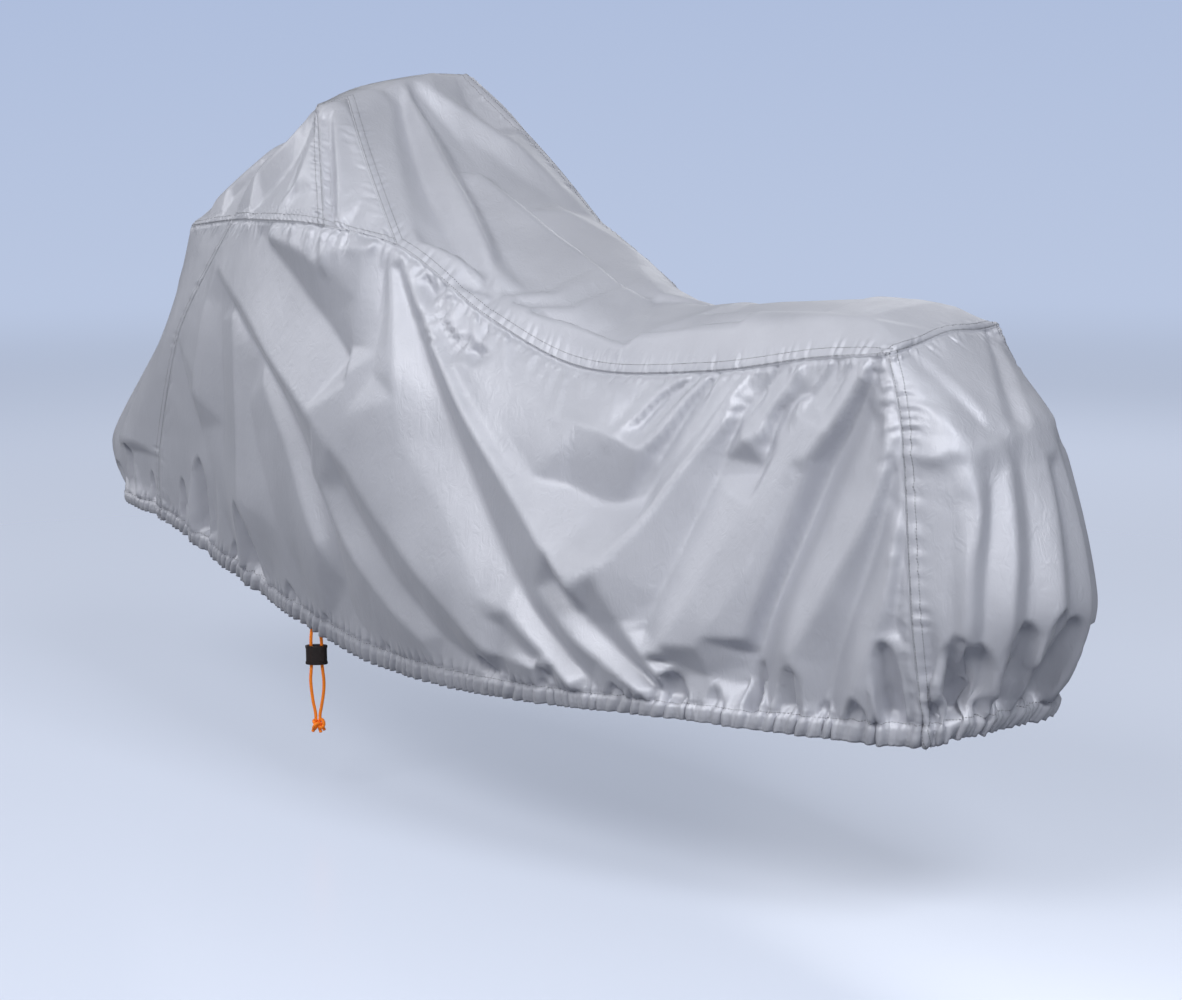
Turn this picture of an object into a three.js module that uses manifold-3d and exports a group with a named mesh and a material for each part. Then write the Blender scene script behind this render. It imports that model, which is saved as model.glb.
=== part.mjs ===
// Fitted motorcycle cover: eight cut panels of thin coated cloth, sewn edge to edge with double rows
// of stitches, with an elastic channel at the hem and a drawcord with a cord lock and a knot.
// Millimetres. X runs to the tail, Y to the right-hand side and Z up. The origin is on the underside
// of the cloth at the middle of the ridge. Heights in the tables are taken from the ground, and
// GROUND is the height of the ground in this frame.
import * as THREE from "three";
import { mergeVertices } from "three/addons/utils/BufferGeometryUtils.js";
import Module from "manifold-3d";

const CLOTH = 2; // thickness of the coated cloth as a solid
const HEM_THICKNESS = 6; // the folded channel at the lower edge, with the elastic in it
const HEM_START = 0.93; // where the channel starts, as a share of the way from seam to hem
const SKIRT_END = 0.915; // where the single cloth ends, close above it
const SKIRT_ROWS = 14; // rows of mesh on the single cloth
const PANEL_GAP = 0.3; // between two panels at their seam
const RIDGE_HEIGHT = 1336; // middle of the cloth's thickness at the middle of the ridge
const GROUND = CLOTH / 2 - RIDGE_HEIGHT;

// The ribs run from the top seam down to the hem, a row for each, from the middle of the nose along
// the left side to the middle of the tail. Each level holds x, half width and height. The right side
// mirrors them, with its seam higher by lift. Columns is the number of strips of mesh to the next
// rib, and gather is how far the cloth puffs and pinches above the elastic.
const rib = (name, columns, gather, lift, seam, waist, belly, hem) => ({
  name, columns, gather, lift, seam, waist, belly, hem,
});
const RIBS = [
  rib("nose", 8, 12, 0, [-570, 0, 1045], [-625, 0, 860], [-898, 0, 588], [-850, 0, 462]),
  rib("nose cheek", 8, 11, 0, [-500, 120, 1048], [-600, 115, 857], [-838, 100, 588], [-810, 90, 455]),
  rib("front corner", 8, 9, 0, [-243, 200, 1072], [-447, 190, 848], [-570, 163, 600], [-590, 145, 443]),
  rib("hood side", 6, 8, 0, [-72, 260, 1080], [-160, 265, 850], [-260, 250, 580], [-310, 205, 395]),
  rib("dart foot", 4, 5, 0, [165, 293, 1080], [110, 310, 840], [20, 300, 550], [-5, 250, 335]),
  rib("shoulder", 5, 3, 12, [314, 250, 1050], [310, 320, 840], [260, 330, 520], [240, 275, 298]),
  rib("slope", 5, 3, 50, [514, 210, 931], [510, 290, 780], [500, 345, 500], [510, 305, 298]),
  rib("dip", 6, 4, 36, [700, 175, 859], [710, 260, 720], [720, 335, 490], [740, 312, 311]),
  rib("saddle", 6, 6, 30, [975, 150, 869], [980, 215, 720], [990, 290, 490], [1010, 290, 330]),
  rib("haunch", 8, 9, 28, [1205, 140, 907], [1220, 180, 740], [1240, 222, 520], [1250, 228, 332]),
  rib("rear corner", 7, 10, 26, [1345, 132, 924], [1392, 153, 812], [1437, 180, 546], [1444, 150, 334]),
  rib("tail cheek", 7, 11, 14, [1352, 80, 932], [1460, 128, 815], [1533, 138, 540], [1483, 105, 346]),
  rib("tail", 7, 12, 0, [1355, 0, 948], [1488, 0, 808], [1582, 0, 540], [1498, 0, 350]),
];
const RIB_TENSION = 0.36; // how round a rib is at its waist and belly

// Shares of the way down, and of what is left at the hem.
const GATHERS_PER_RIB = 2;
const GATHER_START = 0.6;
const GATHER_FULL = 0.88;
const GATHER_AT_HEM = 0.4;
const FOLDS_FULL = 0.07; // the folds start at the seam and are full from here
const FOLDS_FADE = [0.86, 0.96];
const FOLDS_AT_HEM = 0.3;
// Two waves that make the gathers uneven.
const DRIFT = [{ size: 0.8, rate: 1.9 }, { size: 0.6, rate: 4.3 }];

// The ridge from its left end to its right, and the tops of the rear darts: x, y and height.
const RIDGE = [[0, -177, 1290], [0, -95, 1319], [0, 0, RIDGE_HEIGHT], [0, 95, 1346], [0, 180, 1344]];
const DART_TOP_LEFT = [40, -140, 1302];
const DART_TOP_RIGHT = [40, 150, 1345];
const DART_BOW = 8; // how far the rear dart bows outwards at its middle
const HOOD_BOW = 17; // and the hood between the ridge and its lower seam, upwards
const HOOD_FORWARD = 0.5; // and forwards, as a share of that
const DART_ROWS = 6;
const TOP_COLUMNS = 12;
const CHEEK_SHARE = 0.03; // the share of the ridge that each cheek of the hood fans out from
const CROWN_POWER = 2.4; // how flat the top panel is across its middle

// The middle line of the top panel, from the ridge to the tail.
const SPINE = [
  { x: 0, height: RIDGE_HEIGHT },
  { x: 40, height: 1332 },
  { x: 84, height: 1282 },
  { x: 210, height: 1180 },
  { x: 320, height: 1112 },
  { x: 442, height: 1042 },
  { x: 520, height: 1010 },
  { x: 616, height: 976 },
  { x: 771, height: 943 },
  { x: 975, height: 958 },
  { x: 1205, height: 970 },
  { x: 1355, height: 948 },
];

// A fold is a straight ridge, or a hollow where deep is negative, from one place to another, with
// its half width at each end. On the sides a place is x and height, on the nose and the tail y and
// height, and on the top panel x and y.
const fold = (from, to, wideFrom, wideTo, deep) => ({ from, to, wideFrom, wideTo, deep });
const FOLD_START = [-0.06, 0.14]; // where a fold grows, as shares of its length
const FOLD_END = [0.88, 1.08]; // and where it fades
const CORNER_BLEND = [-0.4, 0.3]; // where the side's folds give way to the end's, in ribs
const LEFT_FOLDS = [
  fold([190, 1060], [232, 840], 88, 38, -40),
  fold([-215, 1000], [262, 655], 44, 44, 24),
  fold([-190, 950], [330, 525], 44, 62, -20),
  fold([275, 1045], [258, 690], 34, 50, 15),
  fold([318, 1045], [690, 630], 32, 66, 22),
  fold([390, 915], [900, 370], 46, 60, -18),
  fold([372, 1015], [835, 512], 30, 56, 25),
  fold([440, 955], [500, 890], 44, 42, -15),
  fold([1014, 868], [824, 516], 30, 56, 25),
  fold([705, 795], [935, 742], 44, 42, 14),
  fold([735, 715], [905, 690], 62, 62, -26),
  fold([1338, 916], [1160, 385], 30, 66, -30),
  fold([1196, 850], [1000, 415], 32, 62, 21),
  fold([1336, 765], [1190, 440], 34, 52, 20),
  fold([1407, 700], [1312, 450], 30, 48, -13),
  fold([278, 668], [640, 382], 34, 44, 18),
  fold([190, 560], [530, 372], 64, 62, -12),
  fold([-322, 738], [-345, 470], 30, 50, -20),
  fold([-372, 620], [-405, 450], 30, 42, -14),
  fold([-134, 555], [-110, 370], 30, 60, -18),
  fold([-165, 820], [-126, 570], 44, 48, 15),
  fold([-262, 880], [-255, 560], 34, 42, 12),
];
const RIGHT_FOLDS = [
  fold([175, 1060], [212, 815], 76, 38, -30),
  fold([-195, 990], [238, 690], 46, 44, 21),
  fold([-150, 930], [360, 560], 46, 60, -18),
  fold([322, 1045], [650, 590], 32, 66, 23),
  fold([300, 1000], [385, 640], 40, 58, -16),
  fold([395, 1000], [905, 470], 32, 64, 22),
  fold([1050, 870], [862, 480], 32, 58, 23),
  fold([730, 760], [890, 665], 64, 66, -24),
  fold([1335, 925], [1182, 400], 30, 64, -26),
  fold([1212, 870], [1040, 420], 32, 60, 20),
  fold([1372, 790], [1290, 430], 32, 50, 17),
  fold([300, 640], [630, 395], 36, 48, 16),
  fold([-300, 725], [-322, 460], 30, 50, -18),
  fold([-118, 570], [-88, 375], 30, 58, -17),
  fold([-175, 850], [-140, 590], 42, 48, 14),
];
const TAIL_FOLDS = [
  fold([-160, 778], [-40, 800], 26, 30, 9),
  fold([-40, 800], [150, 812], 30, 26, 9),
  fold([-98, 768], [-118, 600], 14, 26, -13),
  fold([-152, 772], [-150, 600], 12, 22, -13),
  fold([-2, 775], [-4, 560], 14, 30, -11),
  fold([88, 780], [96, 560], 14, 28, -12),
  fold([-70, 540], [-74, 380], 10, 24, -13),
  fold([74, 500], [70, 380], 10, 24, -13),
];
const NOSE_FOLDS = [
  fold([-112, 720], [-98, 480], 14, 26, -13),
  fold([-44, 680], [-40, 490], 14, 26, -13),
  fold([6, 760], [10, 490], 14, 26, 12),
  fold([72, 700], [78, 480], 14, 28, -14),
  fold([120, 880], [112, 560], 14, 22, 9),
];
const TOP_FOLDS = [
  fold([46, -6], [502, -160], 26, 40, 15),
  fold([50, -70], [330, -178], 22, 40, -11),
  fold([52, 12], [560, -18], 26, 60, -12),
  fold([56, 60], [470, 150], 24, 46, 12),
  fold([500, -158], [655, -112], 34, 28, 10),
  fold([640, 40], [860, -60], 44, 40, -8),
  fold([1130, -110], [1330, -20], 30, 36, 7),
];

// The drawcord's two strands, from the inner face of the hem channel through the lock to the knot:
// x, y and height of points chosen along each. They hang side by side in the direction ACROSS.
const CORD_DIAMETER = 6;
const CORD_SIDES = 8;
const CORD_STEPS = 32;
const ACROSS = [0.68, 0.733];
const FRONT_STRAND = [
  [28, -253.8, 345.1], [28.1, -249.5, 346.1], [28.4, -245.2, 345.3], [28.8, -241.7, 342.5],
  [29, -239.7, 338], [29.1, -239.6, 331], [29.2, -240.9, 320], [29.2, -242.6, 308],
  [29.2, -243.2, 300],
  [29.2, -243.3, 292], [29.2, -243.3, 282], [29.2, -243.3, 272], [29.2, -243.3, 262],
  [29.2, -243.3, 252], [28.5, -244.1, 239], [27.8, -244.8, 225], [28.2, -244.4, 210],
  [29.2, -243.3, 195], [30.6, -241.9, 180], [32.4, -239.9, 166], [33.3, -238.9, 156],
  [33.3, -238.9, 146],
];
const REAR_STRAND = [
  [50, -255, 341.1], [49.9, -250.7, 342], [49.6, -246.3, 341.5], [49.1, -242.4, 339.3],
  [48.4, -239.1, 335], [47.4, -236.4, 329], [46.2, -234.2, 321], [45, -232.2, 312],
  [43.8, -230.2, 303],
  [42.8, -228.7, 292], [42.8, -228.7, 282], [42.8, -228.7, 272], [42.8, -228.7, 262],
  [42.8, -228.7, 252], [43.6, -227.8, 239], [44.5, -226.8, 225], [44.5, -226.8, 210],
  [43.5, -227.9, 195], [41.8, -229.8, 180], [40, -231.8, 166], [38.7, -233.1, 156],
  [38.7, -233.1, 146],
];
const LOCK = { centre: [36, -236, 272], wide: 42, thick: 25, tall: 36, chamfer: 3, bore: 6.9, spread: 20 };
const KNOT = {
  centre: [36, -236, 137],
  core: 11,
  wrap: 10,
  strand: 3.6,
  socket: 3.6,
  socketBottom: 145,
  tail: 13,
  tailRadius: 3,
  tailStart: 3,
};
// The knot's turns and cut ends, each tilted from level or from straight down, and turned, in degrees.
const KNOT_TURNS = [
  { tilt: 8, turn: 20, drop: 0 },
  { tilt: 38, turn: 150, drop: -4 },
  { tilt: 62, turn: 75, drop: -3 },
];
const KNOT_TAILS = [
  { tilt: 52, turn: 215 },
  { tilt: 16, turn: 100 },
  { tilt: 48, turn: 40 },
  { tilt: 30, turn: 300 },
];

const UP = new THREE.Vector3(0, 0, 1);
const STATIONS = 2 * (RIBS.length - 1);
const TAIL = RIBS.length - 1;
const stationOf = (name) => RIBS.findIndex((row) => row.name === name);
const SHOULDER = stationOf("shoulder");
const DART_FOOT = stationOf("dart foot");
const FRONT_CORNER = stationOf("front corner");
const REAR_CORNER = stationOf("rear corner");
const vec = ([x, y, height]) => new THREE.Vector3(x, y, height + GROUND);
const smooth = (from, to, value) => {
  const share = THREE.MathUtils.clamp((value - from) / (to - from), 0, 1);
  return share * share * (3 - 2 * share);
};
// A share of a line, when its middle stretch grows or shrinks from one share of the line to another.
const remap = (from, to, share) => {
  const out = Math.abs(2 * share - 1);
  const moved = out < from ? (out * to) / from : to + ((out - from) * (1 - to)) / (1 - from);
  return (1 + Math.sign(share - 0.5) * moved) / 2;
};
const evenly = (count) => Array.from({ length: count + 1 }, (_, i) => i / count);
const ROWS_DOWN = [...evenly(SKIRT_ROWS).map((share) => share * SKIRT_END), HEM_START, 1];

// The cover's four closed rings, each through one level of every rib.
const rings = ["seam", "waist", "belly", "hem"].map((level) => {
  const at = (row, side) => {
    const [x, half, height] = row[level];
    return vec([x, side * half, height + (level === "seam" && side > 0 ? row.lift : 0)]);
  };
  const left = RIBS.map((row) => at(row, -1));
  const right = RIBS.slice(1, -1).reverse().map((row) => at(row, 1));
  return new THREE.CatmullRomCurve3([...left, ...right], true, "centripetal");
});

// A point of the skirt before its folds: u counts the ribs round the cover, and v runs from 0 at the
// seam to 1 at the hem.
function skirtBase(u, v) {
  const turn = THREE.MathUtils.euclideanModulo(u, STATIONS) / STATIONS;
  const levels = rings.map((ring) => ring.getPoint(turn));
  return new THREE.CatmullRomCurve3(levels, false, "catmullrom", RIB_TENSION).getPoint(v);
}

// How far one fold lifts the cloth at a place, fading out at the fold's ends and sides.
function foldLift({ from, to, wideFrom, wideTo, deep }, a, b) {
  const run = [to[0] - from[0], to[1] - from[1]];
  const length = Math.hypot(...run);
  const along = ((a - from[0]) * run[0] + (b - from[1]) * run[1]) / length ** 2;
  const across = ((a - from[0]) * run[1] - (b - from[1]) * run[0]) / length;
  const share = across / THREE.MathUtils.lerp(wideFrom, wideTo, THREE.MathUtils.clamp(along, 0, 1));
  if (Math.abs(share) >= 1) return 0;
  return deep * (1 - share ** 2) ** 2 * smooth(...FOLD_START, along) * (1 - smooth(...FOLD_END, along));
}

const foldSum = (folds, a, b) => folds.reduce((sum, row) => sum + foldLift(row, a, b), 0);

// The folds and the gathers above the elastic, as a distance outwards.
function skirtLift(u, v, point) {
  const turn = THREE.MathUtils.euclideanModulo(u, STATIONS);
  const place = Math.min(turn, STATIONS - turn);
  const height = point.z - GROUND;
  const tail = smooth(...CORNER_BLEND, place - REAR_CORNER);
  const nose = 1 - smooth(...CORNER_BLEND, place - FRONT_CORNER);
  const side = foldSum(turn < TAIL ? LEFT_FOLDS : RIGHT_FOLDS, point.x, height);
  const folds = side * (1 - tail) * (1 - nose)
    + foldSum(TAIL_FOLDS, point.y, height) * tail
    + foldSum(NOSE_FOLDS, point.y, height) * nose;
  const row = Math.min(Math.floor(place), TAIL - 1);
  const gather = THREE.MathUtils.lerp(RIBS[row].gather, RIBS[row + 1].gather, place - row);
  const drift = DRIFT.reduce((sum, { size, rate }) => sum + size * Math.sin(rate * turn), 0);
  const wave = Math.cos(2 * Math.PI * GATHERS_PER_RIB * turn + drift);
  const rise = smooth(GATHER_START, GATHER_FULL, v) * (1 - (1 - GATHER_AT_HEM) * smooth(GATHER_FULL, 1, v));
  const fall = smooth(0, FOLDS_FULL, v) * (1 - (1 - FOLDS_AT_HEM) * smooth(...FOLDS_FADE, v));
  return folds * fall + gather * wave * rise;
}

function skirt(u, v) {
  const step = 0.02;
  const outward = skirtBase(u + step, v).sub(skirtBase(u - step, v)).cross(UP).normalize();
  const point = skirtBase(u, v);
  return point.addScaledVector(outward, skirtLift(u, v, point));
}

// The stations of the mesh columns from one rib to another.
function columnsBetween(from, to) {
  const list = [];
  for (let u = from; u < to; u++) {
    const turn = THREE.MathUtils.euclideanModulo(u, STATIONS);
    const columns = RIBS[turn < TAIL ? turn : STATIONS - 1 - turn].columns;
    for (let i = 0; i < columns; i++) list.push(u + i / columns);
  }
  return [...list, to];
}

// A panel is a list of rows of points. Each row has its points' places, from 0 to 1 along the row,
// and rows of one panel need not hold as many points. A skirt row also has the middle of each cell
// between it and the next row.
const placesOf = (stations) => stations.map((u) => (u - stations[0]) / (stations.at(-1) - stations[0]));

function skirtPanel(from, to) {
  const stations = columnsBetween(from, to);
  return ROWS_DOWN.map((v, k) => {
    const below = ROWS_DOWN[k + 1] ?? 1;
    return {
      thickness: v < HEM_START ? CLOTH : HEM_THICKNESS,
      places: placesOf(stations),
      points: stations.map((u) => skirt(u, v)),
      middles: stations.slice(1).map((u, i) => skirt((u + stations[i]) / 2, (v + below) / 2)),
    };
  });
}

const ridge = new THREE.CatmullRomCurve3(RIDGE.map(vec), false, "centripetal");
const spine = new THREE.CatmullRomCurve3(
  SPINE.map((row) => vec([row.x, 0, row.height])),
  false,
  "centripetal",
);

// The height of the spine at a given x, found by halving.
function spineAt(x) {
  let low = 0;
  let high = 1;
  for (let i = 0; i < 30; i++) {
    const middle = (low + high) / 2;
    if (spine.getPoint(middle).x < x) low = middle;
    else high = middle;
  }
  return spine.getPoint(low).z;
}

const onSide = (u, side) => (side < 0 ? u : STATIONS - u);

function rearDart(side, share) {
  const top = vec(side < 0 ? DART_TOP_LEFT : DART_TOP_RIGHT);
  const bow = DART_BOW * Math.sin(Math.PI * share);
  return top.lerp(skirt(onSide(SHOULDER, side), 0), share).add(new THREE.Vector3(0, side * bow, bow));
}

function frontDart(side, share) {
  const top = ridge.getPoint(side < 0 ? 0 : 1);
  return top.lerp(skirt(onSide(DART_FOOT, side), 0), share);
}

// The top panel, from the ridge between the rear darts and the shoulder seams to the tail.
function topPanel() {
  const edges = evenly(DART_ROWS).map((share) => [rearDart(-1, share), rearDart(1, share)]);
  for (const u of columnsBetween(SHOULDER, REAR_CORNER).slice(1, -1)) {
    edges.push([skirt(u, 0), skirt(STATIONS - u, 0)]);
  }
  const places = evenly(TOP_COLUMNS);
  const across = edges.map(([left, right]) => ({
    thickness: CLOTH,
    places,
    points: places.map((t) => {
      const point = left.clone().lerp(right, t);
      const crown = spineAt((left.x + right.x) / 2) - (left.z + right.z) / 2;
      const inside = 1 - Math.abs(2 * t - 1) ** CROWN_POWER;
      point.z += inside * (crown + foldSum(TOP_FOLDS, point.x, point.y));
      return point;
    }),
  }));
  const tail = columnsBetween(REAR_CORNER, STATIONS - REAR_CORNER);
  return [
    { thickness: CLOTH, places, points: places.map((t) => ridge.getPoint(t)) },
    ...across,
    { thickness: CLOTH, places: placesOf(tail), points: tail.map((u) => skirt(u, 0)) },
  ];
}

// The front of the hood, from the ridge down to the nose, with a cheek on each side that fans out
// from the end of the ridge. Its rows run from the right-hand side to the left.
function hoodPanel() {
  const bottom = columnsBetween(-DART_FOOT, DART_FOOT);
  const corner = FRONT_CORNER / DART_FOOT;
  const ridgeShares = evenly(TOP_COLUMNS);
  const ridgePlaces = ridgeShares.map((share) => remap(1 - 2 * CHEEK_SHARE, corner, share));
  const below = evenly(DART_ROWS).slice(1).map((share) => {
    const count = Math.round(THREE.MathUtils.lerp(TOP_COLUMNS, bottom.length - 1, share));
    const places = share === 1 ? placesOf(bottom) : evenly(count);
    const points = places.map((place) => {
      if (place === 0 || place === 1) return frontDart(place === 0 ? 1 : -1, share);
      const top = ridge.getPoint(1 - remap(corner, 1 - 2 * CHEEK_SHARE, place));
      const bow = HOOD_BOW * Math.sin(Math.PI * share) * Math.sin(Math.PI * place);
      const foot = skirt(THREE.MathUtils.lerp(-DART_FOOT, DART_FOOT, place), 0);
      return top.lerp(foot, share).add(new THREE.Vector3(-HOOD_FORWARD * bow, 0, bow));
    });
    return { thickness: CLOTH, places, points };
  });
  const top = ridgeShares.map((share) => ridge.getPoint(1 - share));
  return [{ thickness: CLOTH, places: ridgePlaces, points: top }, ...below];
}

// The narrow gusset between the two darts on one side.
function gusset(side) {
  const bottom = columnsBetween(DART_FOOT, SHOULDER);
  const rows = evenly(DART_ROWS).map((share) => {
    const count = 1 + Math.round((bottom.length - 2) * share);
    const places = evenly(count);
    const points = places.map((t) => frontDart(side, share).lerp(rearDart(side, share), t));
    if (share === 1) points.splice(0, points.length, ...bottom.map((u) => skirt(onSide(u, side), 0)));
    return { thickness: CLOTH, places, points: side < 0 ? points : points.reverse() };
  });
  return rows;
}

// The triangles between two rows of a skirt panel. Each cell is split along the diagonal that lies
// nearer to its middle, so that the edges run along the folds.
function cells(upper, lower, firstUpper, firstLower) {
  const miss = (a, b, middle) => a.clone().lerp(b, 0.5).distanceTo(middle);
  return upper.middles.flatMap((middle, i) => {
    const [a, b] = [firstUpper + i, firstLower + i];
    const falling = miss(upper.points[i], lower.points[i + 1], middle);
    const rising = miss(lower.points[i], upper.points[i + 1], middle);
    return falling < rising ? [[a, b, b + 1], [a, b + 1, a + 1]] : [[a, b, a + 1], [a + 1, b, b + 1]];
  });
}

// The triangles between two rows of another panel, taken in the order of the points' places.
function strip(upper, lower, firstUpper, firstLower) {
  const faces = [];
  let i = 0;
  let j = 0;
  while (i < upper.places.length - 1 || j < lower.places.length - 1) {
    const nextUpper = upper.places[i + 1] ?? Infinity;
    const nextLower = lower.places[j + 1] ?? Infinity;
    if (nextUpper <= nextLower + 1e-9) {
      faces.push([firstUpper + i, firstLower + j, firstUpper + i + 1]);
      i += 1;
    } else {
      faces.push([firstUpper + i, firstLower + j, firstLower + j + 1]);
      j += 1;
    }
  }
  return faces;
}

function sheetOf(name, rows) {
  const faces = [];
  let first = 0;
  for (let k = 0; k + 1 < rows.length; k++) {
    const next = first + rows[k].points.length;
    faces.push(...(rows[k].middles ? cells : strip)(rows[k], rows[k + 1], first, next));
    first = next;
  }
  const points = rows.flatMap((row) => row.points);
  const thickness = rows.flatMap((row) => row.points.map(() => row.thickness));
  return { name, points, thickness, faces };
}

const sheets = [
  sheetOf("top_panel", topPanel()),
  sheetOf("hood_front", hoodPanel()),
  sheetOf("gusset_left", gusset(-1)),
  sheetOf("gusset_right", gusset(1)),
  sheetOf("front_panel", skirtPanel(-FRONT_CORNER, FRONT_CORNER)),
  sheetOf("side_left", skirtPanel(FRONT_CORNER, REAR_CORNER)),
  sheetOf("rear_panel", skirtPanel(REAR_CORNER, STATIONS - REAR_CORNER)),
  sheetOf("side_right", skirtPanel(STATIONS - REAR_CORNER, STATIONS - FRONT_CORNER)),
];

// Panels that share a seam share their normals along it, so that their edges stay parallel.
const keyOf = (point) => point.toArray().map((value) => Math.round(value * 100)).join(" ");
const normals = new Map();
for (const { points, faces } of sheets) {
  for (const corners of faces) {
    const [a, b, c] = corners.map((i) => points[i]);
    const normal = b.clone().sub(a).cross(c.clone().sub(a));
    for (const point of [a, b, c]) {
      const key = keyOf(point);
      if (!normals.has(key)) normals.set(key, new THREE.Vector3());
      normals.get(key).add(normal);
    }
  }
}

// A panel as a closed solid: its two faces, and the cut edge all round, drawn in by half the gap.
function sheetSolid({ points, thickness, faces }) {
  const normal = points.map((point) => normals.get(keyOf(point)).clone().normalize());
  const rim = new Map();
  for (const [a, b, c] of faces) {
    for (const [from, to] of [[a, b], [b, c], [c, a]]) {
      if (!rim.delete(to + " " + from)) rim.set(from + " " + to, [from, to]);
    }
  }
  const inward = points.map(() => []);
  for (const [from, to] of rim.values()) {
    const along = points[to].clone().sub(points[from]);
    for (const i of [from, to]) inward[i].push(normal[i].clone().cross(along).normalize());
  }
  const middle = points.map((point, i) => {
    if (inward[i].length === 0) return point;
    const [a, b] = inward[i];
    return point.clone().addScaledVector(a.clone().add(b), PANEL_GAP / 2 / (1 + a.dot(b)));
  });
  const face = (side) => middle.map((p, i) => p.clone().addScaledVector(normal[i], side * thickness[i] / 2));
  const under = points.length;
  const index = faces.flatMap(([a, b, c]) => [a, b, c, a + under, c + under, b + under]);
  for (const [from, to] of rim.values()) {
    // Both panels of a seam split each facet of their edges along the same diagonal.
    const facet = keyOf(points[from]) < keyOf(points[to])
      ? [from, from + under, to, to, from + under, to + under]
      : [from, from + under, to + under, from, to + under, to];
    index.push(...facet);
  }
  const positions = [...face(1), ...face(-1)].flatMap((p) => p.toArray());
  const geometry = new THREE.BufferGeometry();
  geometry.setAttribute("position", new THREE.Float32BufferAttribute(positions, 3));
  geometry.setIndex(index);
  geometry.computeVertexNormals();
  return geometry;
}

const wasm = await Module();
wasm.setup();

// A closed three.js geometry as a solid that can be joined and cut, and the way back.
function solidOf(geometry) {
  const bare = geometry.clone();
  bare.deleteAttribute("normal");
  bare.deleteAttribute("uv");
  const merged = mergeVertices(bare, 1e-4);
  return new wasm.Manifold(new wasm.Mesh({
    numProp: 3,
    vertProperties: merged.attributes.position.array,
    triVerts: new Uint32Array(merged.index.array),
  }));
}

function geometryOf(solid) {
  const mesh = solid.getMesh();
  const geometry = new THREE.BufferGeometry();
  geometry.setAttribute("position", new THREE.BufferAttribute(mesh.vertProperties, 3));
  geometry.setIndex(new THREE.BufferAttribute(mesh.triVerts, 1));
  geometry.computeVertexNormals();
  return geometry;
}

function strand(points) {
  const circle = new THREE.Shape();
  circle.absarc(0, 0, CORD_DIAMETER / 2, 0, 2 * Math.PI);
  const extrudePath = new THREE.CatmullRomCurve3(points.map(vec), false, "centripetal");
  return new THREE.ExtrudeGeometry(circle, {
    steps: CORD_STEPS,
    curveSegments: CORD_SIDES / 2,
    extrudePath,
    bevelEnabled: false,
  });
}

// An upright cylinder between two heights, at x and y.
function upright(x, y, radius, low, high) {
  const cylinder = new THREE.CylinderGeometry(radius, radius, high - low, 16);
  return solidOf(cylinder.rotateX(Math.PI / 2).translate(x, y, (low + high) / 2 + GROUND));
}

// The lock is an oval barrel with a bore for each strand.
function cordLock() {
  const { centre, wide, thick, tall, chamfer, bore, spread } = LOCK;
  const profile = [
    [0, -tall / 2], [wide / 2 - chamfer, -tall / 2], [wide / 2, chamfer - tall / 2],
    [wide / 2, tall / 2 - chamfer], [wide / 2 - chamfer, tall / 2], [0, tall / 2],
  ].map(([x, y]) => new THREE.Vector2(x, y));
  const barrel = new THREE.LatheGeometry(profile, 32)
    .rotateX(Math.PI / 2)
    .scale(1, thick / wide, 1)
    .rotateZ(Math.atan2(ACROSS[1], ACROSS[0]));
  const middle = vec(centre);
  let solid = solidOf(barrel.translate(middle.x, middle.y, middle.z));
  for (const side of [-1, 1]) {
    const x = centre[0] + side * ACROSS[0] * spread / 2;
    const y = centre[1] + side * ACROSS[1] * spread / 2;
    solid = solid.subtract(upright(x, y, bore / 2, centre[2] - tall, centre[2] + tall));
  }
  return geometryOf(solid);
}

// The knot is a few crossing turns of the cord round a core, with its cut ends standing out below.
function knot() {
  const { centre, core, wrap, strand: radius, socket, socketBottom, tail, tailRadius, tailStart } = KNOT;
  const degrees = THREE.MathUtils.degToRad;
  const middle = vec(centre);
  let solid = solidOf(new THREE.SphereGeometry(core, 12, 8).translate(middle.x, middle.y, middle.z));
  for (const { tilt, turn, drop } of KNOT_TURNS) {
    const ring = new THREE.TorusGeometry(wrap, radius, 6, 14).rotateX(degrees(tilt)).rotateZ(degrees(turn));
    solid = solid.add(solidOf(ring.translate(middle.x, middle.y, middle.z + drop)));
  }
  for (const { tilt, turn } of KNOT_TAILS) {
    const end = new THREE.CapsuleGeometry(tailRadius, tail, 2, 6)
      .rotateX(Math.PI / 2)
      .translate(0, 0, -tail / 2 - tailStart)
      .rotateX(degrees(tilt))
      .rotateZ(degrees(turn));
    solid = solid.add(solidOf(end.translate(middle.x, middle.y, middle.z)));
  }
  for (const [x, y] of [FRONT_STRAND.at(-1), REAR_STRAND.at(-1)]) {
    solid = solid.subtract(upright(x, y, socket, socketBottom, socketBottom + 2 * core));
  }
  return geometryOf(solid);
}

const cover = new THREE.Group();

function addPiece(name, geometry, finish) {
  const mesh = new THREE.Mesh(geometry, new THREE.MeshStandardMaterial(finish));
  mesh.name = name;
  cover.add(mesh);
}

const SILVER_CLOTH = { color: 0xa9acb5, roughness: 0.42, metalness: 0.2 };
const ORANGE_CORD = { color: 0xf26a1b, roughness: 0.7, metalness: 0 };
const SMOKED_PLASTIC = { color: 0x1d1c1e, roughness: 0.35, metalness: 0 };
for (const sheet of sheets) addPiece(sheet.name, sheetSolid(sheet), SILVER_CLOTH);
addPiece("drawcord_front_strand", strand(FRONT_STRAND), ORANGE_CORD);
addPiece("drawcord_rear_strand", strand(REAR_STRAND), ORANGE_CORD);
addPiece("cord_lock", cordLock(), SMOKED_PLASTIC);
addPiece("drawcord_knot", knot(), ORANGE_CORD);

export default cover;
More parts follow.
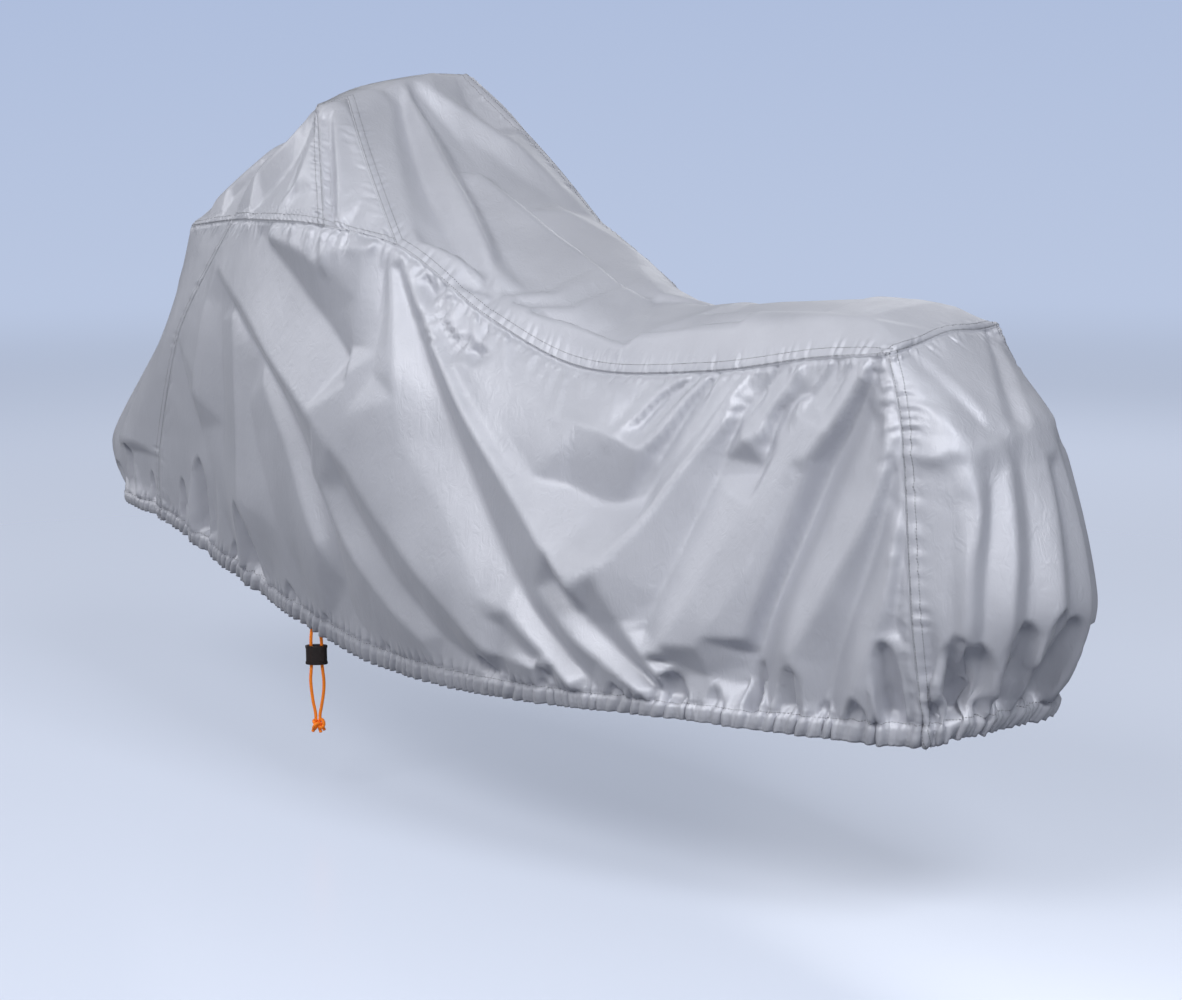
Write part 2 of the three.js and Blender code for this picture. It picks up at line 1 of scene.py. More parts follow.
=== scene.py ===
# A fitted motorcycle cover as it hangs: eight cut panels of thin silver-grey coated cloth, sewn edge
# to edge with double rows of stitches, an elastic channel at the hem, and an orange drawcord with a
# cord lock and a knot. Metres. X runs to the tail, Y to the right-hand side and Z up. The origin is on
# the underside of the cloth at the middle of the ridge.
import math
from functools import partial
import bpy
import numpy as np
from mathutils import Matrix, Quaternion, Vector
from mathutils.bvhtree import BVHTree
from mathutils.geometry import delaunay_2d_cdt


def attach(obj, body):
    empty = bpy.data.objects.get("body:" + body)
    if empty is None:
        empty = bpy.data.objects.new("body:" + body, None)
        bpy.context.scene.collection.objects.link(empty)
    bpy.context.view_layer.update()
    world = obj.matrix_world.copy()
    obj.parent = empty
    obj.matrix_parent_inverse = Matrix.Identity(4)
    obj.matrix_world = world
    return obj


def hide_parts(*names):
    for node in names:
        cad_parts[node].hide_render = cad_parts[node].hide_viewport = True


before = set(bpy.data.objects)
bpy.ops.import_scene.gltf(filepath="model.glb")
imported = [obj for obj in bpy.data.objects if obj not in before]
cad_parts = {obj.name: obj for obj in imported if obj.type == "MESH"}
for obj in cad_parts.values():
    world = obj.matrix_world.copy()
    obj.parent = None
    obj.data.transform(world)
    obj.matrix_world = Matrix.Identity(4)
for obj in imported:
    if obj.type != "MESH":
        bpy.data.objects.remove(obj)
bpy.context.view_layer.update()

# The camera
# It stands off the tail's left quarter at eye height and looks a little down, with a long lens.
CAMERA_PLACE = Vector((3.995, -3.203, 0.0095))
CAMERA_YAW = 0.823
CAMERA_PITCH = 0.1577
CAMERA_ROLL = -0.0066
CAMERA_LENS = 81.62
SENSOR_WIDTH = 36
level = math.cos(CAMERA_PITCH)
look = Vector((-math.sin(CAMERA_YAW) * level, math.cos(CAMERA_YAW) * level, -math.sin(CAMERA_PITCH)))
camera = bpy.data.objects.new("camera", bpy.data.cameras.new("camera"))
camera.data.sensor_width = SENSOR_WIDTH
camera.data.lens = CAMERA_LENS
camera.location = CAMERA_PLACE
camera.rotation_mode = "QUATERNION"
camera.rotation_quaternion = look.to_track_quat("-Z", "Y") @ Quaternion((0, 0, 1), CAMERA_ROLL)
bpy.context.scene.collection.objects.link(camera)
bpy.context.scene.camera = camera

# The drawcord's two strands
# A braided orange cord, 6 mm thick, runs in the hem channel. Its two ends leave the channel at the
# inner face of the hem, pass side by side through the lock and hang down to the knot that ties them.
MM = 0.001
RIDGE_HEIGHT = 1336
CLOTH = 2
GROUND = CLOTH / 2 - RIDGE_HEIGHT
CORD_DIAMETER = 6
FRONT_STRAND = [
    # x, y and height from the ground, in millimetres
    [28, -253.8, 345.1], [28.1, -249.5, 346.1], [28.4, -245.2, 345.3], [28.8, -241.7, 342.5],
    [29, -239.7, 338], [29.1, -239.6, 331], [29.2, -240.9, 320], [29.2, -242.6, 308],
    [29.2, -243.2, 300], [29.2, -243.3, 292], [29.2, -243.3, 282], [29.2, -243.3, 272],
    [29.2, -243.3, 262], [29.2, -243.3, 252], [28.5, -244.1, 239], [27.8, -244.8, 225],
    [28.2, -244.4, 210], [29.2, -243.3, 195], [30.6, -241.9, 180], [32.4, -239.9, 166],
    [33.3, -238.9, 156], [33.3, -238.9, 146],
]
REAR_STRAND = [
    [50, -255, 341.1], [49.9, -250.7, 342], [49.6, -246.3, 341.5], [49.1, -242.4, 339.3],
    [48.4, -239.1, 335], [47.4, -236.4, 329], [46.2, -234.2, 321], [45, -232.2, 312],
    [43.8, -230.2, 303], [42.8, -228.7, 292], [42.8, -228.7, 282], [42.8, -228.7, 272],
    [42.8, -228.7, 262], [42.8, -228.7, 252], [43.6, -227.8, 239], [44.5, -226.8, 225],
    [44.5, -226.8, 210], [43.5, -227.9, 195], [41.8, -229.8, 180], [40, -231.8, 166],
    [38.7, -233.1, 156], [38.7, -233.1, 146],
]
TUBE_SIDES = 32
TUBE_STEP = 0.0006
TUBE_TIP = 0.35
BRAID_PITCH = 0.0062
BRAID_STRANDS = 8
BRAID_DEPTH = 0.00022
# The cord's orange, the darker orange of the painted shade between its plaits, and the strength of the
# painted glow that brightens it
CORD_ORANGE = (1.0, 0.27, 0.012, 1)
CORD_PAINTED_SHADE = (0.9, 0.16, 0.006, 1)
CORD_PAINTED_GLOW = 0.14


def hermite(p0, p1, p2, p3, share, tension=None):
    """A point between p1 and p2 on a Catmull-Rom curve, centripetal where there is no tension."""
    if tension is None:
        d0, d1, d2 = (
            np.maximum(np.sum((b - a) ** 2, axis=-1, keepdims=True) ** 0.25, 1e-6)
            for a, b in ((p0, p1), (p1, p2), (p2, p3))
        )
        t1 = ((p1 - p0) / d0 - (p2 - p0) / (d0 + d1) + (p2 - p1) / d1) * d1
        t2 = ((p2 - p1) / d1 - (p3 - p1) / (d1 + d2) + (p3 - p2) / d2) * d1
    else:
        t1, t2 = tension * (p2 - p0), tension * (p3 - p1)
    rise = p2 - p1
    return p1 + share * (t1 + share * (3 * rise - 2 * t1 - t2 + share * (t1 + t2 - 2 * rise)))


def along_curve(points, shares, closed=False):
    """Points at shares of a curve through the given ones, on a closed ring or an open line."""
    points, shares = np.asarray(points, float), np.asarray(shares, float)
    if closed:
        at = np.mod(shares, 1) * len(points)
        first = np.minimum(at.astype(int), len(points) - 1)
        ends = np.take(points, np.arange(-1, len(points) + 2), axis=0, mode="wrap")
    else:
        at = np.clip(shares, 0, 1) * (len(points) - 1)
        first = np.minimum(at.astype(int), len(points) - 2)
        ends = np.concatenate([[2 * points[0] - points[1]], points, [2 * points[-1] - points[-2]]])
    knots = [ends[first + i] for i in range(4)]
    return hermite(*knots, (at - first)[..., None])


def in_place(rows):
    """Table rows of x, y and height from the ground, in millimetres, as points in the frame."""
    return (np.asarray(rows, float) + [0, 0, GROUND]) * MM


def run_along(points):
    """The distance along a line, at each of its points."""
    return np.concatenate([[0], np.cumsum(np.linalg.norm(np.diff(points, axis=0), axis=1))])


def evenly_along(points, step):
    """The curve through the points, cut into steps of one length."""
    fine = along_curve(points, np.linspace(0, 1, 40 * len(points)))
    run = run_along(fine)
    at = np.linspace(0, run[-1], max(2, round(run[-1] / step)) + 1)
    return np.stack([np.interp(at, run, fine[:, i]) for i in range(3)], axis=1), at


def unit(vectors):
    return vectors / np.maximum(np.linalg.norm(vectors, axis=-1, keepdims=True), 1e-12)


def mesh_object(name, points, faces, uv=None):
    """A mesh with its place in its points, and a UV map where uv gives each point's own."""
    mesh = bpy.data.meshes.new(name)
    mesh.from_pydata([tuple(p) for p in points], [], faces)
    if uv is not None:
        layer = mesh.uv_layers.new(name="UVMap")
        index = np.empty(len(mesh.loops), int)
        mesh.loops.foreach_get("vertex_index", index)
        layer.data.foreach_set("uv", np.asarray(uv, np.float32)[index].ravel())
    mesh.shade_smooth()
    obj = bpy.data.objects.new(name, mesh)
    bpy.context.scene.collection.objects.link(obj)
    return obj


def ring_quads(rings, sides, first=0):
    """Quads between rings of points that follow each other."""
    quads = []
    for start in range(first, first + (rings - 1) * sides, sides):
        for j in range(sides):
            a, b = start + j, start + (j + 1) % sides
            quads.append((a, b, b + sides, a + sides))
    return quads


def tube(points, at, radius, relief=None, sides=TUBE_SIDES):
    """The points and faces of a round tube with closed ends, and each point's length and turn."""
    ahead = unit(np.gradient(points, axis=0))
    side = unit(np.cross(ahead[0], [0.3, 1, 0.2]))
    frames = []
    for direction in ahead:
        side = unit(side - direction * np.dot(side, direction))
        frames.append((side, np.cross(direction, side)))
    turns = np.arange(sides) / sides
    around = np.stack([np.cos(2 * np.pi * turns), np.sin(2 * np.pi * turns)], axis=1)
    sideways = np.array([[a * c + b * s for c, s in around] for a, b in frames])
    length, turn = np.meshgrid(at, turns, indexing="ij")
    reach = radius + (relief(length, turn) if relief else 0 * length)
    body = (points[:, None] + sideways * reach[..., None]).reshape(-1, 3)
    uv = np.stack([turn, length], axis=-1).reshape(-1, 2)
    faces = ring_quads(len(points), sides)
    last = (len(points) - 1) * sides
    for ring, end, way in ((0, 0, -1), (last, -1, 1)):
        centre = len(body)
        body = np.vstack([body, points[end] + ahead[end] * way * radius * TUBE_TIP])
        uv = np.vstack([uv, [0.5, at[end]]])
        for j in range(sides):
            a, b = ring + j, ring + (j + 1) % sides
            faces.append((b, a, centre) if way < 0 else (a, b, centre))
    return body, faces, uv


def braid(length, turn):
    """The height of the braid's plaits: two sets of strands that cross over and under each other."""
    first = length / BRAID_PITCH + turn * BRAID_STRANDS / 2
    second = length / BRAID_PITCH - turn * BRAID_STRANDS / 2
    over = np.cos(2 * np.pi * first) * np.cos(2 * np.pi * second)
    plait = np.abs(np.sin(2 * np.pi * np.where(over > 0, first, second)))
    return BRAID_DEPTH * (0.6 * plait + 0.4 * over - 0.6)


def fill(tree, node, inputs):
    """Join each input of a node to a socket, or set it to a value."""
    for key, source in inputs.items():
        if isinstance(source, bpy.types.NodeSocket):
            tree.links.new(source, node.inputs[key])
        else:
            node.inputs[key].default_value = source


def add_node(tree, kind, inputs=None, **settings):
    """A new node of the tree, with its settings and its inputs."""
    node = tree.nodes.new(kind)
    for key, setting in settings.items():
        setattr(node, key, setting)
    fill(tree, node, inputs or {})
    return node


def new_material(name):
    """A material, a function that adds its nodes, and one that fills its Principled shader."""
    material = bpy.data.materials.new(name)
    material.use_nodes = True
    tree = material.node_tree
    return material, partial(add_node, tree), partial(fill, tree, tree.nodes["Principled BSDF"])


def new_group(name, inputs, outputs, kind="ShaderNodeTree"):
    """A node group with named sockets, a function that adds its nodes, and one that fills its outputs."""
    tree = bpy.data.node_groups.new(name, kind)
    for label, socket_kind, default in inputs:
        socket = tree.interface.new_socket(label, in_out="INPUT", socket_type="NodeSocket" + socket_kind)
        if default is not None:
            socket.default_value = default
    for label, socket_kind in outputs:
        tree.interface.new_socket(label, in_out="OUTPUT", socket_type="NodeSocket" + socket_kind)
    enter, leave = tree.nodes.new("NodeGroupInput"), tree.nodes.new("NodeGroupOutput")
    return tree, enter.outputs, partial(add_node, tree), partial(fill, tree, leave)


def maths(add, operation, *values):
    """The result of an operation on sockets or numbers."""
    return add("ShaderNodeMath", dict(enumerate(values)), operation=operation).outputs[0]


def spread(add, amount, source=(0.0, 1.0), target=(0.0, 1.0), **settings):
    """An amount, stretched from one range to another."""
    ends = dict(zip(("From Min", "From Max", "To Min", "To Max"), (*source, *target)))
    return add("ShaderNodeMapRange", {"Value": amount, **ends}, **settings).outputs["Result"]


def blend(add, share, first, second):
    """A colour between two others."""
    return add("ShaderNodeMix", {0: share, 6: first, 7: second}, data_type="RGBA").outputs[2]


def bumped(add, height, strength, distance, **normal):
    """The surface's normal over a height, or over a height on another normal."""
    sizes = {"Height": height, "Strength": strength, "Distance": distance}
    return add("ShaderNodeBump", {**sizes, **normal}).outputs["Normal"]


# Fine grain that breaks up an even surface: a height and a mask, at a size in grains per metre.
PATCHES_PER_METRE = 9.0
grain, enter, add, leave = new_group(
    "fine_grain",
    [("Vector", "Vector", None), ("Grains", "Float", 900.0)],
    [("Height", "Float"), ("Mask", "Float")],
)
speck = add("ShaderNodeTexNoise", {"Vector": enter["Vector"], "Scale": enter["Grains"], "Detail": 3.0})
patch = add("ShaderNodeTexNoise", {"Vector": enter["Vector"], "Scale": PATCHES_PER_METRE, "Detail": 4.0})
leave({"Height": speck.outputs["Fac"], "Mask": patch.outputs["Fac"]})


def cord_material():
    """Braided polyester in a fluorescent orange dye, with painted shade between the plaits, a painted glow
    that brightens it, and a soft sheen.
    """
    material, add, finish = new_material("orange_braid")
    place = add("ShaderNodeTexCoord").outputs["Object"]
    fibres = add("ShaderNodeGroup", {"Vector": place, "Grains": 2600.0}, node_tree=grain)
    uv = add("ShaderNodeUVMap", uv_map="UVMap").outputs["UV"]
    split = add("ShaderNodeSeparateXYZ", {"Vector": uv})
    plaits = maths(add, "MULTIPLY", split.outputs["Y"], 2 / BRAID_PITCH)
    turned = maths(add, "MULTIPLY", split.outputs["X"], float(BRAID_STRANDS))
    waves = [
        maths(add, "SINE", maths(add, "MULTIPLY", maths(add, way, plaits, turned), math.pi))
        for way in ("ADD", "SUBTRACT")
    ]
    height = maths(add, "ADD", maths(add, "MULTIPLY", *waves), fibres.outputs["Height"])
    # Painted shade: the orange turns darker where the braid's height is low, between the plaits
    colour = blend(add, spread(add, height, (-0.6, 0.9)), CORD_PAINTED_SHADE, CORD_ORANGE)
    # The emission is a painted glow that brightens the orange whatever light falls on it
    finish({
        "Base Color": colour, "Emission Color": colour, "Emission Strength": CORD_PAINTED_GLOW,
        "Normal": bumped(add, height, 0.5, 0.0003), "Roughness": 0.72,
        "Sheen Weight": 0.25, "Sheen Roughness": 0.4,
    })
    return material


orange_braid = cord_material()


def free_strand(name, node, rows):
    points, at = evenly_along(in_place(rows), TUBE_STEP)
    piece = mesh_object(name, *tube(points, at, CORD_DIAMETER / 2 * MM, braid))
    piece.data.materials.append(orange_braid)
    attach(piece, "root")
    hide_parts(node)
    return piece, points, at[-1]


strands = [
    free_strand("strand_front", "drawcord_front_strand", FRONT_STRAND),
    free_strand("strand_rear", "drawcord_rear_strand", REAR_STRAND),
]

# The cord lock
# A barrel lock moulded in smoky black plastic, a little see-through, with a bore for each strand. It
# grips the strands by their friction and slides along them.
LOCK_CENTRE = [36, -236, 272]
LOCK_WIDE, LOCK_THICK, LOCK_TALL = 42, 25, 36
LOCK_LIP = 1.1
LOCK_LIP_TALL = 4
LOCK_ROUND = 1.6
LOCK_BORE = 6.9
LOCK_BORE_MOUTH = 9.2
LOCK_SPREAD = 20
LOCK_SIDES, BORE_SIDES = 96, 48
LOCK_SLOPE = 2
BORE_FLARE, BORE_MOUTH_DEEP = 0.6, 2.4
LOCK_SHARP = 35
ACROSS = np.array([0.68, 0.733, 0])
LOCK_SMOKE = (0.055, 0.04, 0.036, 1)


def turned_shape(profile, sides):
    """A profile of radius and height turned about Z, with its two ends on the axis."""
    angles = 2 * np.pi * np.arange(sides) / sides
    inner = profile[1:-1]
    points = [[r * math.cos(a), r * math.sin(a), z] for r, z in inner for a in angles]
    faces = ring_quads(len(inner), sides)
    low, high, last = len(points), len(points) + 1, (len(inner) - 1) * sides
    points += [[0, 0, profile[0][1]], [0, 0, profile[-1][1]]]
    for j in range(sides):
        k = (j + 1) % sides
        faces += [(k, j, low), (last + j, last + k, high)]
    return np.array(points), faces


def rounded_profile(corners, radius, steps=5):
    """The corners of a profile joined by arcs, its first and last point kept."""
    path = [np.array(corners[0], float)]
    for before, corner, after in zip(corners, corners[1:], corners[2:]):
        corner = np.array(corner, float)
        into, out = unit(np.array(before) - corner), unit(np.array(after) - corner)
        start, end = corner + into * radius, corner + out * radius
        for share in np.linspace(0, 1, steps):
            path.append((1 - share) ** 2 * start + 2 * share * (1 - share) * corner + share ** 2 * end)
    return path + [np.array(corners[-1], float)]


def cord_lock():
    half, tall = LOCK_WIDE / 2, LOCK_TALL / 2
    waist = half - LOCK_LIP
    corners = [
        [0, -tall], [half, -tall], [half, LOCK_LIP_TALL - tall],
        [waist, LOCK_LIP_TALL + LOCK_SLOPE - tall],
        [waist, tall - LOCK_LIP_TALL - LOCK_SLOPE], [half, tall - LOCK_LIP_TALL], [half, tall], [0, tall],
    ]
    points, faces = turned_shape(rounded_profile(corners, LOCK_ROUND), LOCK_SIDES)
    points[:, 1] *= LOCK_THICK / LOCK_WIDE
    turn = np.array([[ACROSS[0], -ACROSS[1], 0], [ACROSS[1], ACROSS[0], 0], [0, 0, 1]])
    centre = in_place(LOCK_CENTRE)
    body = mesh_object("cord_lock_body", points @ turn.T * MM + centre, faces)
    bore, mouth = LOCK_BORE / 2, LOCK_BORE_MOUTH / 2
    funnel = tall + 1
    cutter_profile = [
        [0, -funnel], [mouth + BORE_FLARE, -funnel], [mouth, -tall], [bore, BORE_MOUTH_DEEP - tall],
        [bore, tall - BORE_MOUTH_DEEP], [mouth, tall], [mouth + BORE_FLARE, funnel], [0, funnel],
    ]
    for side in (-1, 1):
        cut_points, cut_faces = turned_shape(cutter_profile, BORE_SIDES)
        offset = ACROSS * side * LOCK_SPREAD / 2 * MM
        cutter = mesh_object("bore_cutter", cut_points * MM + centre + offset, cut_faces)
        hole = body.modifiers.new("bore", "BOOLEAN")
        hole.operation, hole.object, hole.solver = "DIFFERENCE", cutter, "EXACT"
        shown = body.evaluated_get(bpy.context.evaluated_depsgraph_get())
        cut = bpy.data.meshes.new_from_object(shown)
        body.modifiers.remove(hole)
        body.data = cut
        bpy.data.objects.remove(cutter)
    body.data.shade_smooth()
    body.data.set_sharp_from_angle(angle=math.radians(LOCK_SHARP))
    return body


def smoked_plastic():
    """Smoky plastic: mostly dark, but the strands inside glimmer through its thin side."""
    material, add, finish = new_material("smoked_plastic")
    place = add("ShaderNodeTexCoord").outputs["Object"]
    marks = add("ShaderNodeGroup", {"Vector": place, "Grains": 700.0}, node_tree=grain)
    finish({
        "Base Color": LOCK_SMOKE, "Transmission Weight": 0.5, "IOR": 1.49,
        "Roughness": spread(add, marks.outputs["Mask"], target=(0.14, 0.3)),
        "Normal": bumped(add, marks.outputs["Height"], 0.12, 0.0002),
    })
    return material


lock = cord_lock()
lock.data.materials.clear()
lock.data.materials.append(smoked_plastic())
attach(lock, "root")
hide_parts("cord_lock")

# The knot
# The two ends are tied together in an overhand knot, drawn tight, and cut short below it.
KNOT_CENTRE = [36, -236, 138.5]
KNOT_LOOP = 4.1
KNOT_TALL = 5.4
KNOT_CORD = 3.1
KNOT_TILT = 0.5
KNOT_POINTS, KNOT_SIDES = 260, 20
KNOT_TAILS = [
    [[34, -238, 134], [32, -240, 130], [30, -243, 126.5], [29.5, -244, 124]],
    [[38, -235, 133], [38, -234, 129], [39, -233, 125], [40, -233, 122.5]],
    [[36, -231, 135], [39, -229, 131.5], [43, -228, 129], [45, -228, 127]],
]


def stopper_knot():
    turns = np.linspace(0, 2 * np.pi, KNOT_POINTS)
    x = np.sin(turns) + 2 * np.sin(2 * turns)
    y = np.cos(turns) - 2 * np.cos(2 * turns)
    z = -np.sin(3 * turns)
    loop = np.stack([x * KNOT_LOOP, y * KNOT_LOOP, z * KNOT_TALL], axis=1)
    lean = np.array([
        [1, 0, 0],
        [0, math.cos(KNOT_TILT), -math.sin(KNOT_TILT)],
        [0, math.sin(KNOT_TILT), math.cos(KNOT_TILT)],
    ])
    loop = loop @ lean.T + KNOT_CENTRE
    routes = [loop] + [np.array(tail, float) for tail in KNOT_TAILS]
    points, faces, uv = [], [], []
    for route in routes:
        line, at = evenly_along(in_place(route), TUBE_STEP)
        part = tube(line, at, KNOT_CORD * MM, braid, KNOT_SIDES)
        first = sum(len(p) for p in points)
        points.append(part[0])
        faces += [tuple(i + first for i in face) for face in part[1]]
        uv.append(part[2])
    return mesh_object("stopper_knot", np.vstack(points), faces, np.vstack(uv))


knot = stopper_knot()
knot.data.materials.append(orange_braid)
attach(knot, "root")
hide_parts("drawcord_knot")

# The eight panels of the cover
# Thin woven polyester with a silver-grey coating. A maker cuts a top panel, the front of the hood, two
# gussets, a front and a rear panel and two sides, sews them edge to edge with two rows of stitches,
# and folds the hem to a channel for the elastic. Sizes in the tables are in millimetres, and heights
# are from the ground. A rib runs from the seam at the top down to the hem, a row for each from the
# middle of the nose along the left side to the middle of the tail; the right side mirrors them.
RIBS = [
    # gather, lift, and x, half width and height at the seam, the waist, the belly and the hem
    (12, 0, [-570, 0, 1045], [-625, 0, 860], [-898, 0, 588], [-850, 0, 462]),
    (11, 0, [-500, 120, 1048], [-600, 115, 857], [-838, 100, 588], [-810, 90, 455]),
    (9, 0, [-243, 200, 1072], [-447, 190, 848], [-570, 163, 600], [-590, 145, 443]),
    (8, 0, [-72, 260, 1080], [-160, 265, 850], [-260, 250, 580], [-310, 205, 395]),
    (5, 0, [165, 293, 1080], [110, 310, 840], [20, 300, 550], [-5, 250, 335]),
    (3, 12, [314, 250, 1050], [310, 320, 840], [260, 330, 520], [240, 275, 298]),
    (3, 50, [514, 210, 931], [510, 290, 780], [500, 345, 500], [510, 305, 298]),
    (4, 36, [700, 175, 859], [710, 260, 720], [720, 335, 490], [740, 312, 311]),
    (6, 30, [975, 150, 869], [980, 215, 720], [990, 290, 490], [1010, 290, 330]),
    (9, 28, [1205, 140, 907], [1220, 180, 740], [1240, 222, 520], [1250, 228, 332]),
    (10, 26, [1345, 132, 924], [1392, 153, 812], [1437, 180, 546], [1444, 150, 334]),
    (11, 14, [1352, 80, 932], [1460, 128, 815], [1533, 138, 540], [1483, 105, 346]),
    (12, 0, [1355, 0, 948], [1488, 0, 808], [1582, 0, 540], [1498, 0, 350]),
]
FRONT_CORNER, DART_FOOT, SHOULDER, REAR_CORNER, TAIL = 2, 4, 5, 10, 12
STATIONS = 2 * TAIL
CORNERS = (FRONT_CORNER, REAR_CORNER, STATIONS - REAR_CORNER, STATIONS - FRONT_CORNER)
RIB_TENSION = 0.36

RIDGE = [[0, -177, 1290], [0, -95, 1319], [0, 0, RIDGE_HEIGHT], [0, 95, 1346], [0, 180, 1344]]
DART_TOPS = {-1: [40, -140, 1302], 1: [40, 150, 1345]}
DART_BOW = 8
HOOD_BOW = 11
HOOD_FORWARD = 0.5
CHEEK_SHARE = 0.03
CROWN_POWERS = ([0.45, 0.8], [2.4, 5.0])
FAR_POWER = 2.4
EDGE_POWER = 14
TOP_DEEPER, HOOD_DEEPER = 2.5, 2.0
HOOD_HEART = [-60, 0, 900]
SPINE = [
    # x and height of the top panel's middle line
    [0, RIDGE_HEIGHT], [40, 1332], [84, 1282], [210, 1180], [320, 1112], [442, 1042], [520, 1010],
    [616, 976], [771, 943], [975, 958], [1205, 970], [1355, 948],
]

# A crease is the crest of a ridge, or the bottom of a hollow where its last number is below zero. A row
# holds its places from end to end: on the sides x, height and how far it stands out, on the nose and
# the tail y, height and how far out, and on the top panel, the hood and the gussets x, y and how far
# out. Between the creases the cloth is drawn into nearly flat planes.
LEFT_CREASES = [
    # the broad band from the ridge down to the belly, and the hollow behind it
    [(-275, 990, 6), (-90, 915, 13), (40, 830, 17), (155, 755, 18), (262, 676, 14)],
    [(-235, 960, 0), (-100, 870, -5), (55, 745, -8), (190, 555, -10), (225, 390, -7)],
    [(-55, 1055, -2), (40, 998, -8), (110, 948, -12), (185, 893, -15), (240, 850, -16)],
    [(-10, 1052, 6), (110, 1035, 10), (165, 1012, 9), (190, 1038, 8), (235, 1046, 10)],
    [(266, 1048, 10), (262, 980, 5), (256, 920, -2), (250, 870, -10)],
    [(262, 825, 4), (268, 750, 10), (272, 700, 12)],
    [(296, 1040, -2), (312, 940, -9), (322, 830, -4)],
    [(310, 1030, 2), (350, 925, 4), (410, 720, 5)],
    # the long ridges from the shoulder to the hem, and the swag between them and the tail's
    [(325, 1045, 3), (430, 910, 14), (560, 765, 17), (730, 620, 21), (845, 525, 28)],
    [(325, 1010, -4), (420, 875, -10), (610, 620, -11), (805, 420, -12), (865, 375, -8)],
    [(405, 935, 5), (540, 805, 8), (680, 680, 10), (810, 560, 20)],
    [(375, 985, 5), (505, 870, 11), (620, 768, 8), (735, 655, 5), (810, 585, 15)],
    [(385, 985, -6), (465, 900, -10), (520, 865, -8)],
    [(765, 672, -11), (845, 650, -16), (920, 660, -14)],
    [(460, 925, 3), (545, 880, 7), (620, 828, 11), (700, 788, 13), (850, 762, 14)],
    # the flaps that hang from the seam under the saddle
    [(865, 780, 9), (925, 850, 5), (955, 865, 3)],
    [(875, 780, -3), (895, 815, -5), (940, 845, -4), (975, 865, -1)],
    [(905, 745, 12), (930, 770, 12), (965, 835, 9), (995, 865, 4)],
    [(925, 725, -8), (960, 805, -6), (1000, 865, -2)],
    [(1025, 815, 5), (990, 765, 1), (950, 715, -7)],
    [(1010, 870, 2), (1065, 825, 9), (1005, 735, 14), (945, 635, 19), (885, 555, 25)],
    [(1075, 815, -5), (1050, 700, -9), (1025, 620, -10), (980, 465, -9)],
    [(1100, 775, 10), (1125, 775, 8), (1140, 815, 8), (1175, 885, 3)],
    [(1065, 815, -5), (1105, 845, -5), (1145, 885, -2)],
    [(1180, 845, -5), (1150, 820, -8), (1135, 720, -9)],
    # the ridges and the deep trough before the tail
    [(1170, 765, 5), (1115, 645, 8), (1055, 515, 9), (1015, 435, 12)],
    [(1195, 840, 6), (1205, 780, 10), (1175, 660, 13), (1140, 550, 14), (1080, 455, 14)],
    [(1320, 900, 4), (1280, 820, 12), (1235, 760, 14)],
    [(1260, 905, -1), (1210, 850, -3)],
    [(1230, 735, 9), (1200, 620, 6), (1160, 475, 3)],
    [(1340, 920, -2), (1295, 840, -15), (1255, 745, -21), (1200, 575, -25), (1155, 395, -24)],
    [(1345, 820, -8), (1315, 700, -2), (1260, 575, 2), (1220, 460, 2)],
    [(1355, 885, 0), (1375, 740, 11), (1305, 565, 14), (1245, 460, 11)],
    [(1385, 755, -2), (1360, 625, -8), (1325, 500, -9), (1290, 380, -8)],
    [(1405, 680, 4), (1400, 560, 9), (1345, 405, 11)],
    [(1415, 645, -3), (1410, 520, -3)],
    # low on the belly, from the front to the back
    [(276, 668, 13), (345, 605, 12), (445, 535, 12), (570, 450, 13), (650, 390, 15)],
    [(245, 625, -5), (385, 490, -8), (555, 370, -8), (665, 350, -7)],
    [(150, 640, 2), (310, 480, 6), (460, 380, 7)],
    [(-25, 780, 3), (60, 690, 6), (170, 510, 9)],
    [(-240, 920, -4), (-235, 690, -10), (-270, 510, -8)],
    [(-165, 930, 3), (-130, 690, 8), (-125, 555, 11)],
    [(-300, 920, 4), (-340, 735, 9)],
    [(-390, 720, -6), (-305, 565, -12), (-325, 465, -9)],
    [(755, 510, -3), (860, 430, 6), (985, 370, 11)],
    [(790, 530, -4), (890, 455, -9), (1035, 360, -9)],
    [(930, 475, 0), (1015, 400, 9)],
    [(1010, 425, -6), (1095, 405, -6)],
    [(700, 465, 4), (835, 360, 11)],
    [(685, 435, -3), (780, 365, -5)],
    [(670, 385, 6), (775, 380, 9)],
    [(515, 630, 4), (615, 510, 5), (660, 435, 6)],
    [(-90, 745, 1), (25, 495, 2)],
]
